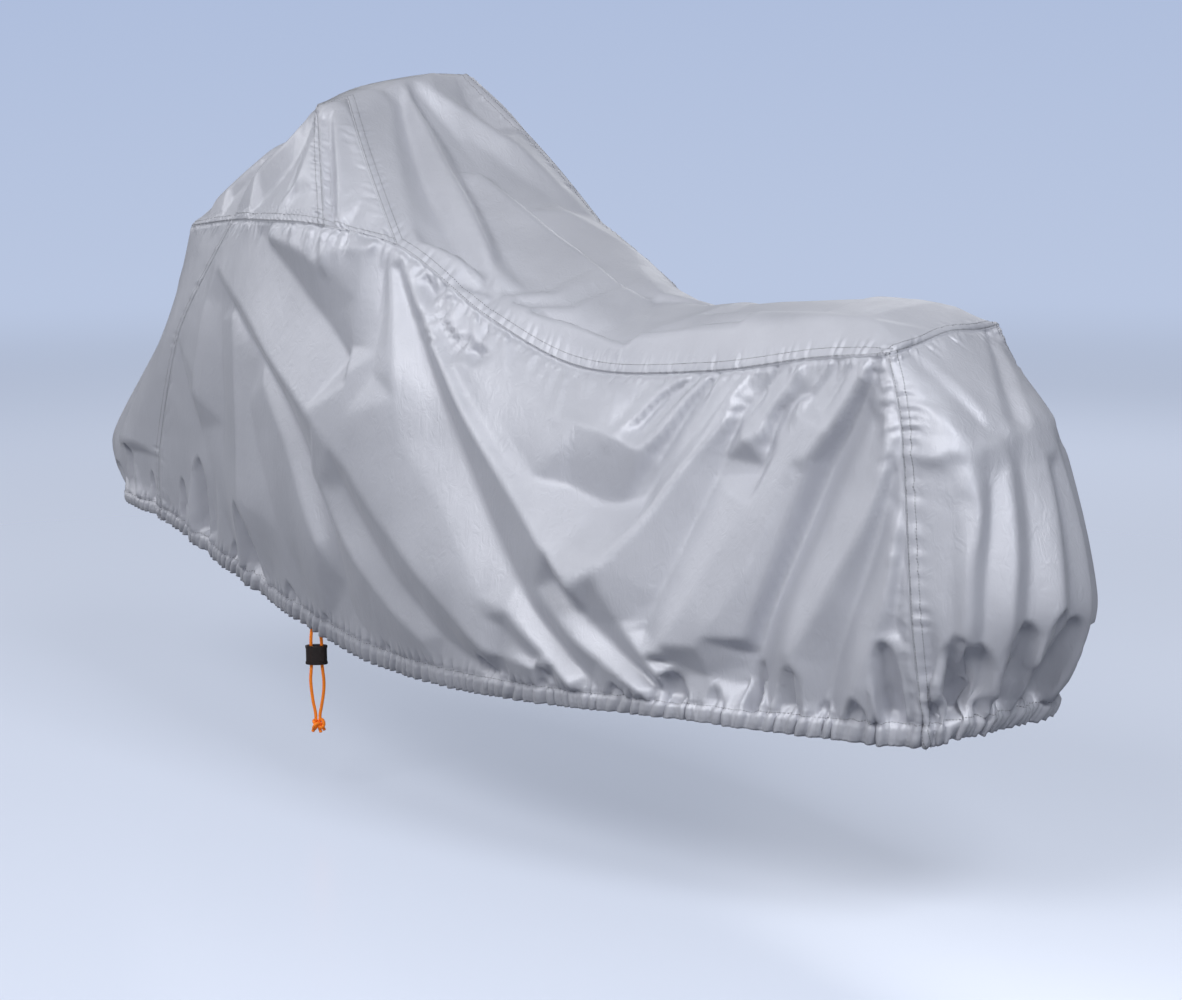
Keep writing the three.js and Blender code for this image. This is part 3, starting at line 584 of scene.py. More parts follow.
TAIL_CREASES = [
    # the ledge across it, where the cloth turns under the end of the saddle, and the flap below it
    [(-157, 785, 3), (-151, 774, 9), (-141, 786, 7), (-95, 792, 7), (-60, 799, 8)],
    [(-25, 805, 6), (20, 805, 5), (75, 805, 5), (110, 815, 4)],
    [(-152, 752, -4), (-154, 722, -5)],
    [(-140, 768, -1), (-143, 748, -4), (-138, 728, -2)],
    [(-128, 732, 5), (-120, 755, 6), (-107, 770, 6)],
    # above the ledge
    [(-85, 930, 1), (-65, 875, 4), (-55, 840, 4)],
    [(-90, 920, -2), (-90, 885, -4), (-70, 830, -4), (-60, 812, 0)],
    [(-20, 930, 2), (-30, 895, 3), (-20, 870, 4)],
    [(-125, 870, -2), (-145, 810, -2)],
    [(-110, 900, 2), (-130, 860, 3), (-120, 805, 5)],
    [(100, 950, -3), (80, 915, -6), (35, 865, -7), (10, 825, -3)],
    [(75, 940, 2), (-5, 860, 6), (-22, 825, 6)],
    [(95, 920, 3), (50, 855, 6), (40, 825, 7)],
    [(120, 920, -3), (120, 845, -5), (125, 820, -2)],
    # from the ledge down to the hem
    [(-148, 700, -6), (-157, 620, -7), (-162, 525, -7), (-165, 430, -7)],
    [(-110, 750, 6), (-118, 695, 10), (-142, 615, 10), (-150, 525, 9), (-148, 430, 7)],
    [(-85, 745, -3), (-98, 695, -7), (-125, 590, -8), (-132, 500, -8), (-125, 420, -7)],
    [(-38, 786, 5), (-61, 705, 9), (-82, 615, 12), (-96, 555, 12), (-98, 420, 9)],
    [(-20, 750, -4), (-30, 690, -7), (-50, 615, -8), (-68, 540, -9), (-70, 420, -8)],
    [(45, 783, 5), (26, 700, 10), (0, 605, 12), (-10, 555, 12), (-20, 420, 9)],
    [(62, 745, -5), (52, 650, -8), (30, 520, -9), (25, 420, -9)],
    [(85, 790, 4), (90, 660, 8), (75, 540, 10), (68, 420, 8)],
    [(112, 770, -4), (118, 600, -8), (98, 430, -9)],
    [(140, 760, 3), (145, 560, 8), (122, 430, 7)],
]
NOSE_CREASES = [
    [(-180, 1000, 2), (-165, 800, 6), (-140, 600, 10)],
    [(-135, 960, -2), (-115, 720, -9), (-100, 500, -11)],
    [(-95, 900, 3), (-80, 700, 8), (-70, 520, 11)],
    [(-60, 860, -3), (-45, 680, -8), (-40, 500, -11)],
    [(-5, 880, 3), (5, 700, 9), (10, 500, 11)],
    [(35, 820, -3), (45, 650, -8), (50, 500, -10)],
    [(70, 880, 4), (85, 700, 8), (90, 520, 10)],
    [(105, 930, -3), (120, 700, -8), (110, 500, -10)],
    [(160, 970, 3), (160, 750, 8), (135, 540, 9)],
]
TOP_CREASES = [
    # down the slope from the middle of the ridge
    [(45, -10, 2), (95, -25, 9), (220, -65, 13), (425, -140, 12), (495, -165, 2)],
    [(70, -35, -3), (220, -110, -6), (360, -155, -7), (460, -170, -4)],
    [(60, 0, -2), (165, 0, -6), (255, -35, -6), (425, -105, -3)],
    [(75, -65, 2), (155, -120, 3), (295, -205, 4)],
    [(55, 10, -2), (95, 35, -5), (255, 45, -7), (420, 40, -7), (635, 5, -3)],
    [(245, 0, 5), (355, 10, 8), (505, 10, 9), (655, 0, 3)],
    [(45, 15, 2), (75, 50, 6), (140, 100, 8), (200, 145, 7), (270, 180, 4)],
    [(55, 120, -2), (90, 115, -5), (130, 135, -5)],
    [(150, 65, -3), (195, 95, -4), (300, 140, -3)],
    [(360, 115, 5), (470, 150, 8), (600, 150, 4)],
    # the star where the band meets the seam
    [(320, -230, 2), (370, -205, 7), (420, -185, 9), (460, -175, 6)],
    [(350, -205, -4), (435, -170, -5)],
    [(445, -205, -3), (495, -175, -2)],
    [(450, -215, 3), (480, -195, 3)],
    [(505, -160, -3), (550, -105, -2)],
    [(520, -165, 3), (580, -105, 2)],
    [(535, -165, -3), (610, -110, -2)],
    [(555, -165, 3), (635, -115, 2)],
    [(510, -170, 2), (555, -170, 6), (670, -150, 11), (795, -150, 8)],
    [(575, -160, -3), (640, -145, -5), (770, -135, -2)],
    # along the saddle
    [(810, -135, 8), (975, -115, 9), (1145, -110, 9), (1290, -90, 8)],
    [(725, -100, -4), (915, -100, -5), (1000, -95, -4)],
    [(860, -45, 3), (1090, -75, 5), (1170, -70, 4)],
    [(900, -40, -2), (1110, -50, -3)],
    [(605, 10, -4), (680, 25, -3)],
    [(550, 115, 4), (630, 65, 5), (680, 40, 3)],
    [(700, 135, 6), (960, 110, 9), (1290, 90, 8)],
]
HOOD_CREASES = [
    # the hood's left cheek, the middle of its front, its right cheek, then the two gussets
    [(-30, -175, 2), (-50, -195, 8), (-140, -195, 11), (-220, -200, 5)],
    [(5, -190, -2), (-10, -210, -5), (-75, -225, -6), (-120, -225, -5)],
    [(-75, -185, -3), (-160, -170, -4), (-300, -160, -3)],
    [(-205, -155, 5), (-285, -155, 6), (-360, -150, 5)],
    [(30, -230, 3), (30, -250, 4), (-5, -260, 3)],
    [(100, -260, -3), (50, -260, -4), (-10, -250, -2)],
    [(85, -255, 3), (45, -245, 3)],
    [(-40, -80, -3), (-200, -95, -5), (-400, -90, -4)],
    [(-30, -20, 3), (-250, -30, 5), (-480, -20, 3)],
    [(-40, 60, -3), (-220, 50, -5), (-420, 70, -4)],
    [(-30, 130, 3), (-200, 140, 5), (-340, 150, 4)],
    [(10, 200, -3), (-100, 225, -5)],
    [(40, 215, 3), (20, 250, 4)],
    [(25, -160, 3), (70, -190, 7), (150, -245, 9), (190, -280, 6)],
    [(40, -180, -4), (130, -250, -6), (175, -280, -4)],
    [(105, -190, 1), (225, -245, 2)],
    [(30, 165, 3), (90, 200, 8), (200, 275, 6)],
    [(60, 175, -2), (240, 250, -4)],
]
CORNER_BLEND = (-0.06, 0.06)


def rib_ring(level):
    """The ribs' places at one level all round. At the seam the right side is higher by its lift."""
    places = []
    for side, ribs in ((-1, RIBS), (1, RIBS[-2:0:-1])):
        for _, lift, *levels in ribs:
            x, half, height = levels[level]
            places.append([x, side * half, height + (lift if level == 0 and side > 0 else 0)])
    return in_place(places)


rings = [rib_ring(level) for level in range(4)]


def smooth(low, high, amount):
    share = np.clip((np.asarray(amount, float) - low) / (high - low), 0, 1)
    return share * share * (3 - 2 * share)


def skirt_base(u, v):
    """The skirt before its folds: u counts the ribs round the cover, v runs from seam to hem."""
    u, v = np.broadcast_arrays(np.asarray(u, float), np.asarray(v, float))
    turn = np.mod(u, STATIONS) / STATIONS
    levels = np.stack([along_curve(ring, turn, closed=True) for ring in rings], axis=-2)
    first = 2 * levels[..., :1, :] - levels[..., 1:2, :]
    last = 2 * levels[..., -1:, :] - levels[..., -2:-1, :]
    knots = np.concatenate([first, levels, last], axis=-2)
    at = v * 3
    index = np.minimum(at.astype(int), 2)
    picked = [
        np.take_along_axis(knots, (index + i)[..., None, None], axis=-2)[..., 0, :] for i in range(4)
    ]
    return hermite(*picked, (at - index)[..., None], RIB_TENSION)


CHANNEL_START = 0.935
CREASE_STEP = 18
MAP_CELL = 4
MAP_ROUNDINGS = 1
MAP_EDGE = 60
MAP_ABOVE = 999


def crease_map(creases, still):
    """How far out the cloth stands over a plane: flat between its creases, and still at given places."""
    still = np.asarray(still, float)
    low, high = still.min(axis=0) - MAP_EDGE, still.max(axis=0) + MAP_EDGE
    places = [[a, b, 0] for a in (low[0], high[0]) for b in (low[1], high[1])]
    places += [[a, b, 0] for a, b in still]
    for crease in creases:
        places += evenly_along(np.array(crease, float), CREASE_STEP)[0].tolist()
    spots = [Vector(place[:2]) for place in places]
    corners, _, faces, origins, *_ = delaunay_2d_cdt(spots, [], [], 0, 0.01)
    drawn = [(*corner, places[origin[0]][2]) for corner, origin in zip(corners, origins)]
    planes = BVHTree.FromPolygons(drawn, faces)
    columns, rows = (int((high[i] - low[i]) / MAP_CELL) + 1 for i in (0, 1))
    levels = np.zeros((columns, rows))
    for i in range(columns):
        for j in range(rows):
            spot = Vector((low[0] + i * MAP_CELL, low[1] + j * MAP_CELL, MAP_ABOVE))
            hit = planes.ray_cast(spot, Vector((0, 0, -1)))[0]
            levels[i, j] = hit.z if hit else 0
    for _ in range(MAP_ROUNDINGS):
        levels[1:-1] = (levels[:-2] + 2 * levels[1:-1] + levels[2:]) / 4
        levels[:, 1:-1] = (levels[:, :-2] + 2 * levels[:, 1:-1] + levels[:, 2:]) / 4
    return low, levels


def rise_over(crease_map, a, b):
    """The crease map's height at places a and b, in metres."""
    low, levels = crease_map
    i = np.clip((a - low[0]) / MAP_CELL, 0, levels.shape[0] - 1.001)
    j = np.clip((b - low[1]) / MAP_CELL, 0, levels.shape[1] - 1.001)
    left, under = i.astype(int), j.astype(int)
    i, j = i - left, j - under
    near = levels[left, under] * (1 - j) + levels[left, under + 1] * j
    next_one = levels[left + 1, under] * (1 - j) + levels[left + 1, under + 1] * j
    return (near * (1 - i) + next_one * i) * MM


PLACES_PER_RIB = 30
SIDE_SHIFT = 16


def along_skirt(start, end):
    return np.linspace(start, end, PLACES_PER_RIB * (end - start) + 1)


def edge_places(start, end, axes):
    """The places of the skirt's edges between two ribs: its seam, its channel and its corner seams."""
    across, down = along_skirt(start, end), np.linspace(0, CHANNEL_START, 40)
    edges = [skirt_base(across, 0), skirt_base(across, CHANNEL_START)]
    edges += [skirt_base(start, down), skirt_base(end, down)]
    return (np.vstack(edges) / MM - [0, 0, GROUND])[:, axes]


def other_side(creases):
    """Like creases for the right-hand side, in other places and of other depths."""
    rows = []
    for crease in creases:
        x, height, out = np.array(crease, float).T
        out = out * (0.85 + 0.2 * np.sin(x / 170 + height / 230))
        x = x + SIDE_SHIFT * np.sin(height / 150 + x / 260)
        rows.append(np.stack([x, height, out], axis=1))
    return rows


side_edges = edge_places(FRONT_CORNER, REAR_CORNER, [0, 2])
left_map = crease_map(LEFT_CREASES, side_edges)
right_map = crease_map(other_side(LEFT_CREASES), side_edges)
tail_map = crease_map(TAIL_CREASES, edge_places(REAR_CORNER, STATIONS - REAR_CORNER, [1, 2]))
nose_map = crease_map(NOSE_CREASES, edge_places(-FRONT_CORNER, FRONT_CORNER, [1, 2]))
SIDE_DEEPER, TAIL_DEEPER, NOSE_DEEPER = 1.5, 1.15, 1.4
FOLDS_FULL = 0.025
GATHERS_PER_RIB = 2
GATHER_SHARE = 0.6
GATHER_START, GATHER_FULL, GATHER_AT_HEM = 0.6, 0.88, 0.4
DRIFT = ((0.8, 1.9), (0.6, 4.3))
RUN_STEP = 0.02


def skirt_folds(u, v, points):
    """The main folds and the gathers above the elastic, as a distance outwards."""
    turn = np.mod(u, STATIONS)
    place = np.minimum(turn, STATIONS - turn)
    x, y, height = points[..., 0] / MM, points[..., 1] / MM, points[..., 2] / MM - GROUND
    tail = smooth(*CORNER_BLEND, place - REAR_CORNER)
    nose = 1 - smooth(*CORNER_BLEND, place - FRONT_CORNER)
    side = np.where(turn < TAIL, rise_over(left_map, x, height), rise_over(right_map, x, height))
    folds = SIDE_DEEPER * side * (1 - tail) * (1 - nose)
    folds += TAIL_DEEPER * rise_over(tail_map, y, height) * tail
    folds += NOSE_DEEPER * rise_over(nose_map, y, height) * nose
    gather = np.interp(place, np.arange(TAIL + 1), [row[0] for row in RIBS])
    drift = sum(size * np.sin(rate * turn) for size, rate in DRIFT)
    wave = np.cos(2 * np.pi * GATHERS_PER_RIB * turn + drift)
    rise = smooth(GATHER_START, GATHER_FULL, v) * (1 - (1 - GATHER_AT_HEM) * smooth(GATHER_FULL, 1, v))
    return folds * smooth(0, FOLDS_FULL, v) + GATHER_SHARE * gather * wave * rise * MM


def skirt(u, v):
    u, v = np.broadcast_arrays(np.asarray(u, float), np.asarray(v, float))
    run = skirt_base(u + RUN_STEP, v) - skirt_base(u - RUN_STEP, v)
    outward = unit(np.stack([run[..., 1], -run[..., 0], 0 * run[..., 0]], axis=-1))
    points = skirt_base(u, v)
    return points + outward * skirt_folds(u, v, points)[..., None]


# The mesh. Its pitch is the widest spacing of the columns from rib to rib, finer at the nose and the
# tail. The rows below the seam and above the hem stand closer, where the puckers and gathers are.
PITCH = np.array([5.4, 5.4, 5.6, 6.2, 7.2, 8.2, 8.2, 8.2, 7.6, 6.4, 5.2, 5.2]) * MM
RIB_COLUMNS = [
    2 * math.ceil(max(np.linalg.norm(ring[i + 1] - ring[i]) for ring in rings) / pitch / 2)
    for i, pitch in enumerate(PITCH)
]
SEAM_TO_HEM = 750
SEAM_ROWS = np.array([0, 1.5, 4, 7, 10.5, 14, 17.5, 21, 25, 30]) / SEAM_TO_HEM
BODY_ROWS = np.linspace(0.04, 0.85, 82)[1:]
HEM_ROWS = np.linspace(0.85, 1, 17)[1:]
CORNER_CELLS = 6
HEM_DENSITY = 3


def stations_between(start, end, density=1):
    """The columns' places from one rib to another, denser by a factor, and finer at a corner seam."""
    places = []
    for u in range(start, end):
        turn = u % STATIONS
        count = RIB_COLUMNS[turn if turn < TAIL else STATIONS - 1 - turn] * density
        cells = np.arange(count)
        if density == 1:
            near = np.arange(CORNER_CELLS) + 0.5
            finer = [near] if turn in CORNERS else []
            finer += [count - near] if (turn + 1) % STATIONS in CORNERS else []
            cells = np.sort(np.concatenate([cells, *finer]))
        places.append(u + cells / count)
    return np.concatenate([*places, [end]])


def row_of(points, places, **more):
    return {"points": np.asarray(points, float), "places": np.asarray(places, float), **more}


def share_of(stations):
    return (stations - stations[0]) / (stations[-1] - stations[0])


def skirt_rows(start, end):
    rows = []
    for v in np.concatenate([SEAM_ROWS, BODY_ROWS, HEM_ROWS]):
        density = 2 if v <= SEAM_ROWS[-1] else HEM_DENSITY if v > BODY_ROWS[-1] else 1
        u = stations_between(start, end, density)
        rows.append(row_of(skirt(u, v), share_of(u), u=u, v=np.full(len(u), v)))
    return rows


NEAR_EDGE = np.array([0, 0.005, 0.012, 0.021, 0.031, 0.041, 0.051, 0.061, 0.073, 0.088])
EDGE_SHARES = np.concatenate([NEAR_EDGE, np.linspace(0.088, 0.912, 46)[1:-1], 1 - NEAR_EDGE[::-1]])
DART_SHARES = np.linspace(0, 1, 90)
ridge = in_place(RIDGE)
spine = along_curve(in_place([[x, 0, height] for x, height in SPINE]), np.linspace(0, 1, 4000))


def spine_at(x):
    return np.interp(x, spine[:, 0], spine[:, 2])


def on_side(u, side):
    return u if side < 0 else STATIONS - u


def rear_dart(side, share):
    share = np.asarray(share, float)[..., None]
    bow = DART_BOW * MM * np.sin(np.pi * share)
    top, foot = in_place(DART_TOPS[side]), skirt(on_side(SHOULDER, side), 0)
    return top + (foot - top) * share + bow * np.array([0, side, 1])


def front_dart(side, share):
    share = np.asarray(share, float)[..., None]
    top, foot = ridge[0 if side < 0 else -1], skirt(on_side(DART_FOOT, side), 0)
    return top + (foot - top) * share


dart_edges = [dart(side, np.linspace(0, 1, 24)) for side in (-1, 1) for dart in (front_dart, rear_dart)]
top_edges = np.vstack([ridge, *dart_edges[1::2], skirt(along_skirt(SHOULDER, STATIONS - SHOULDER), 0)])
top_map = crease_map(TOP_CREASES, top_edges[:, :2] / MM)
hood_edges = np.vstack([ridge, *dart_edges, skirt(along_skirt(-SHOULDER, SHOULDER), 0)])
hood_map = crease_map(HOOD_CREASES, hood_edges[:, :2] / MM)


def creased(points, share, places):
    """A row of the hood or of a gusset with its creases, which end at its seams."""
    rise = HOOD_DEEPER * rise_over(hood_map, points[:, 0] / MM, points[:, 1] / MM)
    rise *= (1 - abs(2 * share - 1) ** EDGE_POWER) * (1 - np.abs(2 * places - 1) ** EDGE_POWER)
    return points + unit(points - in_place(HOOD_HEART)) * rise[:, None]


def top_rows():
    """From the ridge between the rear darts and the shoulder seams to the tail."""
    u = stations_between(SHOULDER, REAR_CORNER, 2)[1:-1]
    left = np.vstack([rear_dart(-1, DART_SHARES), skirt(u, 0)])
    right = np.vstack([rear_dart(1, DART_SHARES), skirt(STATIONS - u, 0)])
    shares = EDGE_SHARES
    rows = [row_of(along_curve(ridge, shares), shares)]
    for start, end in zip(left, right):
        points = start + (end - start) * shares[:, None]
        crown = spine_at((start[0] + end[0]) / 2) - (start[2] + end[2]) / 2
        out = np.abs(2 * shares - 1)
        power = np.where(shares < 0.5, np.interp(start[0], *CROWN_POWERS), FAR_POWER)
        folds = TOP_DEEPER * rise_over(top_map, points[:, 0] / MM, points[:, 1] / MM)
        points[:, 2] += crown * (1 - out ** power) + folds * (1 - out ** EDGE_POWER)
        rows.append(row_of(points, shares))
    tail = stations_between(REAR_CORNER, STATIONS - REAR_CORNER, 2)
    return [*rows, row_of(skirt(tail, 0), share_of(tail))]


def remap(low, high, share):
    """A share of a line, when its middle stretch grows or shrinks from low to high."""
    out = np.abs(2 * share - 1)
    moved = np.where(out < low, out * high / low, high + (out - low) * (1 - high) / (1 - low))
    return (1 + np.sign(share - 0.5) * moved) / 2


def hood_rows():
    """From the ridge down to the nose, its rows from the right-hand side to the left."""
    bottom = stations_between(-DART_FOOT, DART_FOOT, 2)
    corner, middle = FRONT_CORNER / DART_FOOT, 1 - 2 * CHEEK_SHARE
    rows = [row_of(along_curve(ridge, 1 - EDGE_SHARES), remap(middle, corner, EDGE_SHARES))]
    for share in DART_SHARES[1:]:
        count = round(100 + (len(bottom) - 101) * share ** 2)
        places = share_of(bottom) if share == 1 else np.linspace(0, 1, count + 1)
        top = along_curve(ridge, 1 - remap(corner, middle, places))
        foot = skirt(-DART_FOOT + 2 * DART_FOOT * places, 0)
        bow = HOOD_BOW * MM * np.sin(np.pi * share) * np.sin(np.pi * places)
        points = top + (foot - top) * share
        points += bow[:, None] * np.array([-HOOD_FORWARD, 0, 1])
        points[0], points[-1] = front_dart(1, share), front_dart(-1, share)
        rows.append(row_of(creased(points, share, places), places))
    return rows


def gusset_rows(side):
    """The narrow wedge between the two darts of one side."""
    bottom = stations_between(DART_FOOT, SHOULDER, 2)
    rows = []
    for share in DART_SHARES:
        count = max(1, round((len(bottom) - 1) * share))
        places = np.linspace(0, 1, count + 1)
        start, end = front_dart(side, share), rear_dart(side, share)
        points = creased(start + (end - start) * places[:, None], share, places)
        if share == 1:
            points, places = skirt(on_side(bottom, side), 0), share_of(bottom)
        if side > 0:
            points, places = points[::-1], 1 - places[::-1]
        rows.append(row_of(points, places))
    return rows


def faces_between(upper, lower, first_upper, first_lower):
    """Quads between two like rows, and triangles in the order of the places between others."""
    a, b = upper["places"], lower["places"]
    if len(a) == len(b) and np.allclose(a, b, atol=1e-6):
        return [
            (first_upper + i, first_lower + i, first_lower + i + 1, first_upper + i + 1)
            for i in range(len(a) - 1)
        ]
    faces, i, j = [], 0, 0
    while i < len(a) - 1 or j < len(b) - 1:
        next_a = a[i + 1] if i < len(a) - 1 else math.inf
        next_b = b[j + 1] if j < len(b) - 1 else math.inf
        if next_a <= next_b + 1e-9:
            faces.append((first_upper + i, first_lower + j, first_upper + i + 1))
            i += 1
        else:
            faces.append((first_upper + i, first_lower + j, first_lower + j + 1))
            j += 1
    return faces


def sheet_of(name, rows):
    """A panel of rows: its points and faces, and a UV map that runs along the cloth in metres."""
    faces, first = [], 0
    for upper, lower in zip(rows, rows[1:]):
        following = first + len(upper["points"])
        faces += faces_between(upper, lower, first, following)
        first = following
    depths = run_along([row["points"][len(row["points"]) // 2] for row in rows])
    uv = []
    for row, depth in zip(rows, depths):
        run = run_along(row["points"])
        uv.append(np.stack([run - run[-1] / 2, np.full(len(run), -depth)], axis=1))
    points = np.vstack([row["points"] for row in rows])
    v = np.concatenate([row.get("v", np.zeros(len(row["points"]))) for row in rows])
    return {"name": name, "rows": rows, "points": points, "faces": faces, "uv": np.vstack(uv), "v": v}


def row_at(row, places):
    """Points of a row at given places along it."""
    return np.stack([np.interp(places, row["places"], row["points"][:, i]) for i in range(3)], axis=1)


sheets = [
    sheet_of("top_panel", top_rows()),
    sheet_of("hood_front", hood_rows()),
    sheet_of("gusset_left", gusset_rows(-1)),
    sheet_of("gusset_right", gusset_rows(1)),
    sheet_of("front_panel", skirt_rows(-FRONT_CORNER, FRONT_CORNER)),
    sheet_of("side_left", skirt_rows(FRONT_CORNER, REAR_CORNER)),
    sheet_of("rear_panel", skirt_rows(REAR_CORNER, STATIONS - REAR_CORNER)),
    sheet_of("side_right", skirt_rows(STATIONS - REAR_CORNER, STATIONS - FRONT_CORNER)),
]

SAME_PLACE = 2e-5


def shared_normals(sheets):
    """Each sheet's point normals, averaged over the panels that meet at a seam."""
    points = np.vstack([sheet["points"] for sheet in sheets])
    sizes = np.cumsum([0] + [len(sheet["points"]) for sheet in sheets])
    _, owner = np.unique(np.round(points / SAME_PLACE).astype(np.int64), axis=0, return_inverse=True)
    owner = owner.ravel()
    total = np.zeros((owner.max() + 1, 3))
    for sheet, first in zip(sheets, sizes):
        for size in (3, 4):
            corners = np.array([face for face in sheet["faces"] if len(face) == size], int)
            if len(corners) == 0:
                continue
            places = sheet["points"][corners]
            normal = np.cross(places[:, 2] - places[:, 0], places[:, -1] - places[:, 1])
            for corner in corners.T:
                np.add.at(total, owner[corner + first], normal)
    normals = unit(total)[owner]
    return [normals[a:b] for a, b in zip(sizes, sizes[1:])]


# The seams are lapped: one panel's edge is folded over the other's and held by two rows of stitches,
# which draw the cloth into small puckers. The cloth that comes out from under a lap hangs in tucks.
# Sizes in millimetres along the cloth.
LAP_WIDE, LAP_HIGH = 18.5, 1.0
LAP_EDGE_ROUND, LAP_END_ROUND = 2, 3
LAP_ROWS = (2.8, 16.5)
STITCH_DIP, STITCH_DIP_WIDE = 0.8, 2.2
LADDER_PITCH, LADDER_HIGH, LADDER_FADE = 18, 1.3, 20
LADDER_WAVES = ((0.5, 0.74), (0.7, 1), (0.5, 1.37))
LADDER_SWELL = 7.3
CORNER_PUCKERS = ([60, 170, 330, 430], [0.5, 1.5, 1.5, 0.7])
TUCK_DIP = 1.2
TUCK_APART, TUCK_LONG, TUCK_WIDE = (9, 24), (16, 62), (5, 12)
TUCK_HIGH, TUCK_LEAN = (2.0, 6.0), (-0.4, 0.4)
TUCKS_OUTWARD = 0.65
TUCK_POINTED = 0.55
LAP, TUCK, PLAIN = "lap", "tuck", "plain"
EDGES = {
    # the upper, lower, left and right edge: how it is sewn and how strongly it puckers
    "top_panel": ((TUCK, 0.6), (LAP, 0.8), (LAP, 1.1), (LAP, 1.1)),
    "hood_front": ((LAP, 0.6), (LAP, 1.2), (LAP, 1.0), (LAP, 1.0)),
    "gusset_left": ((PLAIN, 0), (LAP, 1.0), (TUCK, 0.5), (TUCK, 0.5)),
    "gusset_right": ((PLAIN, 0), (LAP, 1.0), (TUCK, 0.5), (TUCK, 0.5)),
    "front_panel": ((TUCK, 0.7), (PLAIN, 0), (LAP, 1.3), (LAP, 1.3)),
    "side_left": ((TUCK, 1.0), (PLAIN, 0), (TUCK, 0.7), (TUCK, 0.9)),
    "rear_panel": ((TUCK, 0.6), (PLAIN, 0), (LAP, 1.7), (LAP, 1.7)),
    "side_right": ((TUCK, 1.0), (PLAIN, 0), (TUCK, 0.9), (TUCK, 0.7)),
}
TUCKS_LEFT = [
    # rib place under the shoulder and the cross seam, length, half width, height, lean to the tail
    (3.62, 52, 14, 7, 0.3), (3.84, 66, 16, 9, 0.25), (4.02, 96, 22, 11, 0.35), (4.2, 88, 15, 9, -0.1),
    (4.36, 60, 12, -7, 0.1), (4.88, 46, 9, 5, 0), (5.3, 62, 10, -6, 0.9), (5.62, 54, 15, 6, 0.7),
    (5.86, 66, 15, 8, 0.6), (6.02, 82, 9, -10, 0.1), (6.22, 70, 20, 7, 0.5), (6.5, 62, 12, 5, 0.4),
    (6.74, 74, 13, 6, 0.3), (6.9, 118, 15, 8, 0.25), (7.12, 84, 22, 6, 0.3), (7.36, 150, 32, 9, 0.25),
    (7.62, 128, 16, -6, -0.4), (7.78, 142, 13, 6, -0.6), (7.98, 124, 12, -7, -0.6),
    (8.2, 104, 22, 8, -0.4), (8.44, 132, 14, 6, -0.6), (8.66, 120, 14, -7, -0.6), (8.9, 78, 16, 6, -0.4),
    (9.2, 118, 13, 6, -0.6), (9.5, 92, 13, -6, -0.6), (9.72, 78, 11, 5, -0.4),
]


def uneven(run, pitch, seed):
    """A wave along a seam, uneven in length and height, about one high."""
    phases = np.random.default_rng(seed).uniform(0, 2 * np.pi, 4)
    wave = 0
    for (high, stretch), phase in zip(LADDER_WAVES, phases):
        wave = wave + high * np.sin(2 * np.pi * run / (pitch * stretch) + phase)
    return wave * (0.8 + 0.3 * np.sin(2 * np.pi * run / (pitch * LADDER_SWELL) + phases[3]))


def lap_relief(away, run, strength, seed):
    """The folded edge of a lapped seam, its two rows of stitches and the puckers between them."""
    band = smooth(0, LAP_EDGE_ROUND, away) * (1 - smooth(LAP_WIDE - 1, LAP_WIDE + LAP_END_ROUND, away))
    rows = sum(np.exp(-((away - row) / STITCH_DIP_WIDE) ** 2) for row in LAP_ROWS)
    ladder = smooth(1, 5, away) * (1 - smooth(LAP_WIDE, LAP_WIDE + LADDER_FADE, away))
    puckers = LADDER_HIGH * strength * ladder * uneven(run, LADDER_PITCH, seed)
    return LAP_HIGH * band - STITCH_DIP * rows + puckers


def seeded_tucks(length, strength, seed):
    """Tucks of uneven sizes along a seam: place, length, half width, height and lean."""
    draw = np.random.default_rng(seed)
    place, tucks = 0, []
    while place < length:
        place += draw.uniform(*TUCK_APART)
        way = 1 if draw.random() < TUCKS_OUTWARD else -1
        tucks.append((
            place, draw.uniform(*TUCK_LONG) * (0.5 + strength / 2), draw.uniform(*TUCK_WIDE),
            way * draw.uniform(*TUCK_HIGH) * strength, draw.uniform(*TUCK_LEAN),
        ))
    return tucks


def tuck_relief(away, run, tucks):
    """The cloth under a lap: it starts a little lower and hangs in pointed tucks."""
    total = -TUCK_DIP * smooth(0, 1.5, away) * (1 - smooth(4, 11, away))
    for place, long, wide, high, lean in tucks:
        along = away / long
        across = np.abs(run - place - lean * away) / (wide * (TUCK_POINTED + (1 - TUCK_POINTED) * along))
        near = (along < 1) & (across < 1)
        a = along[near]
        total[near] += high * (1 - across[near]) ** 1.15 * smooth(0, 0.3, a) * (1 - a) ** 0.7
    return total


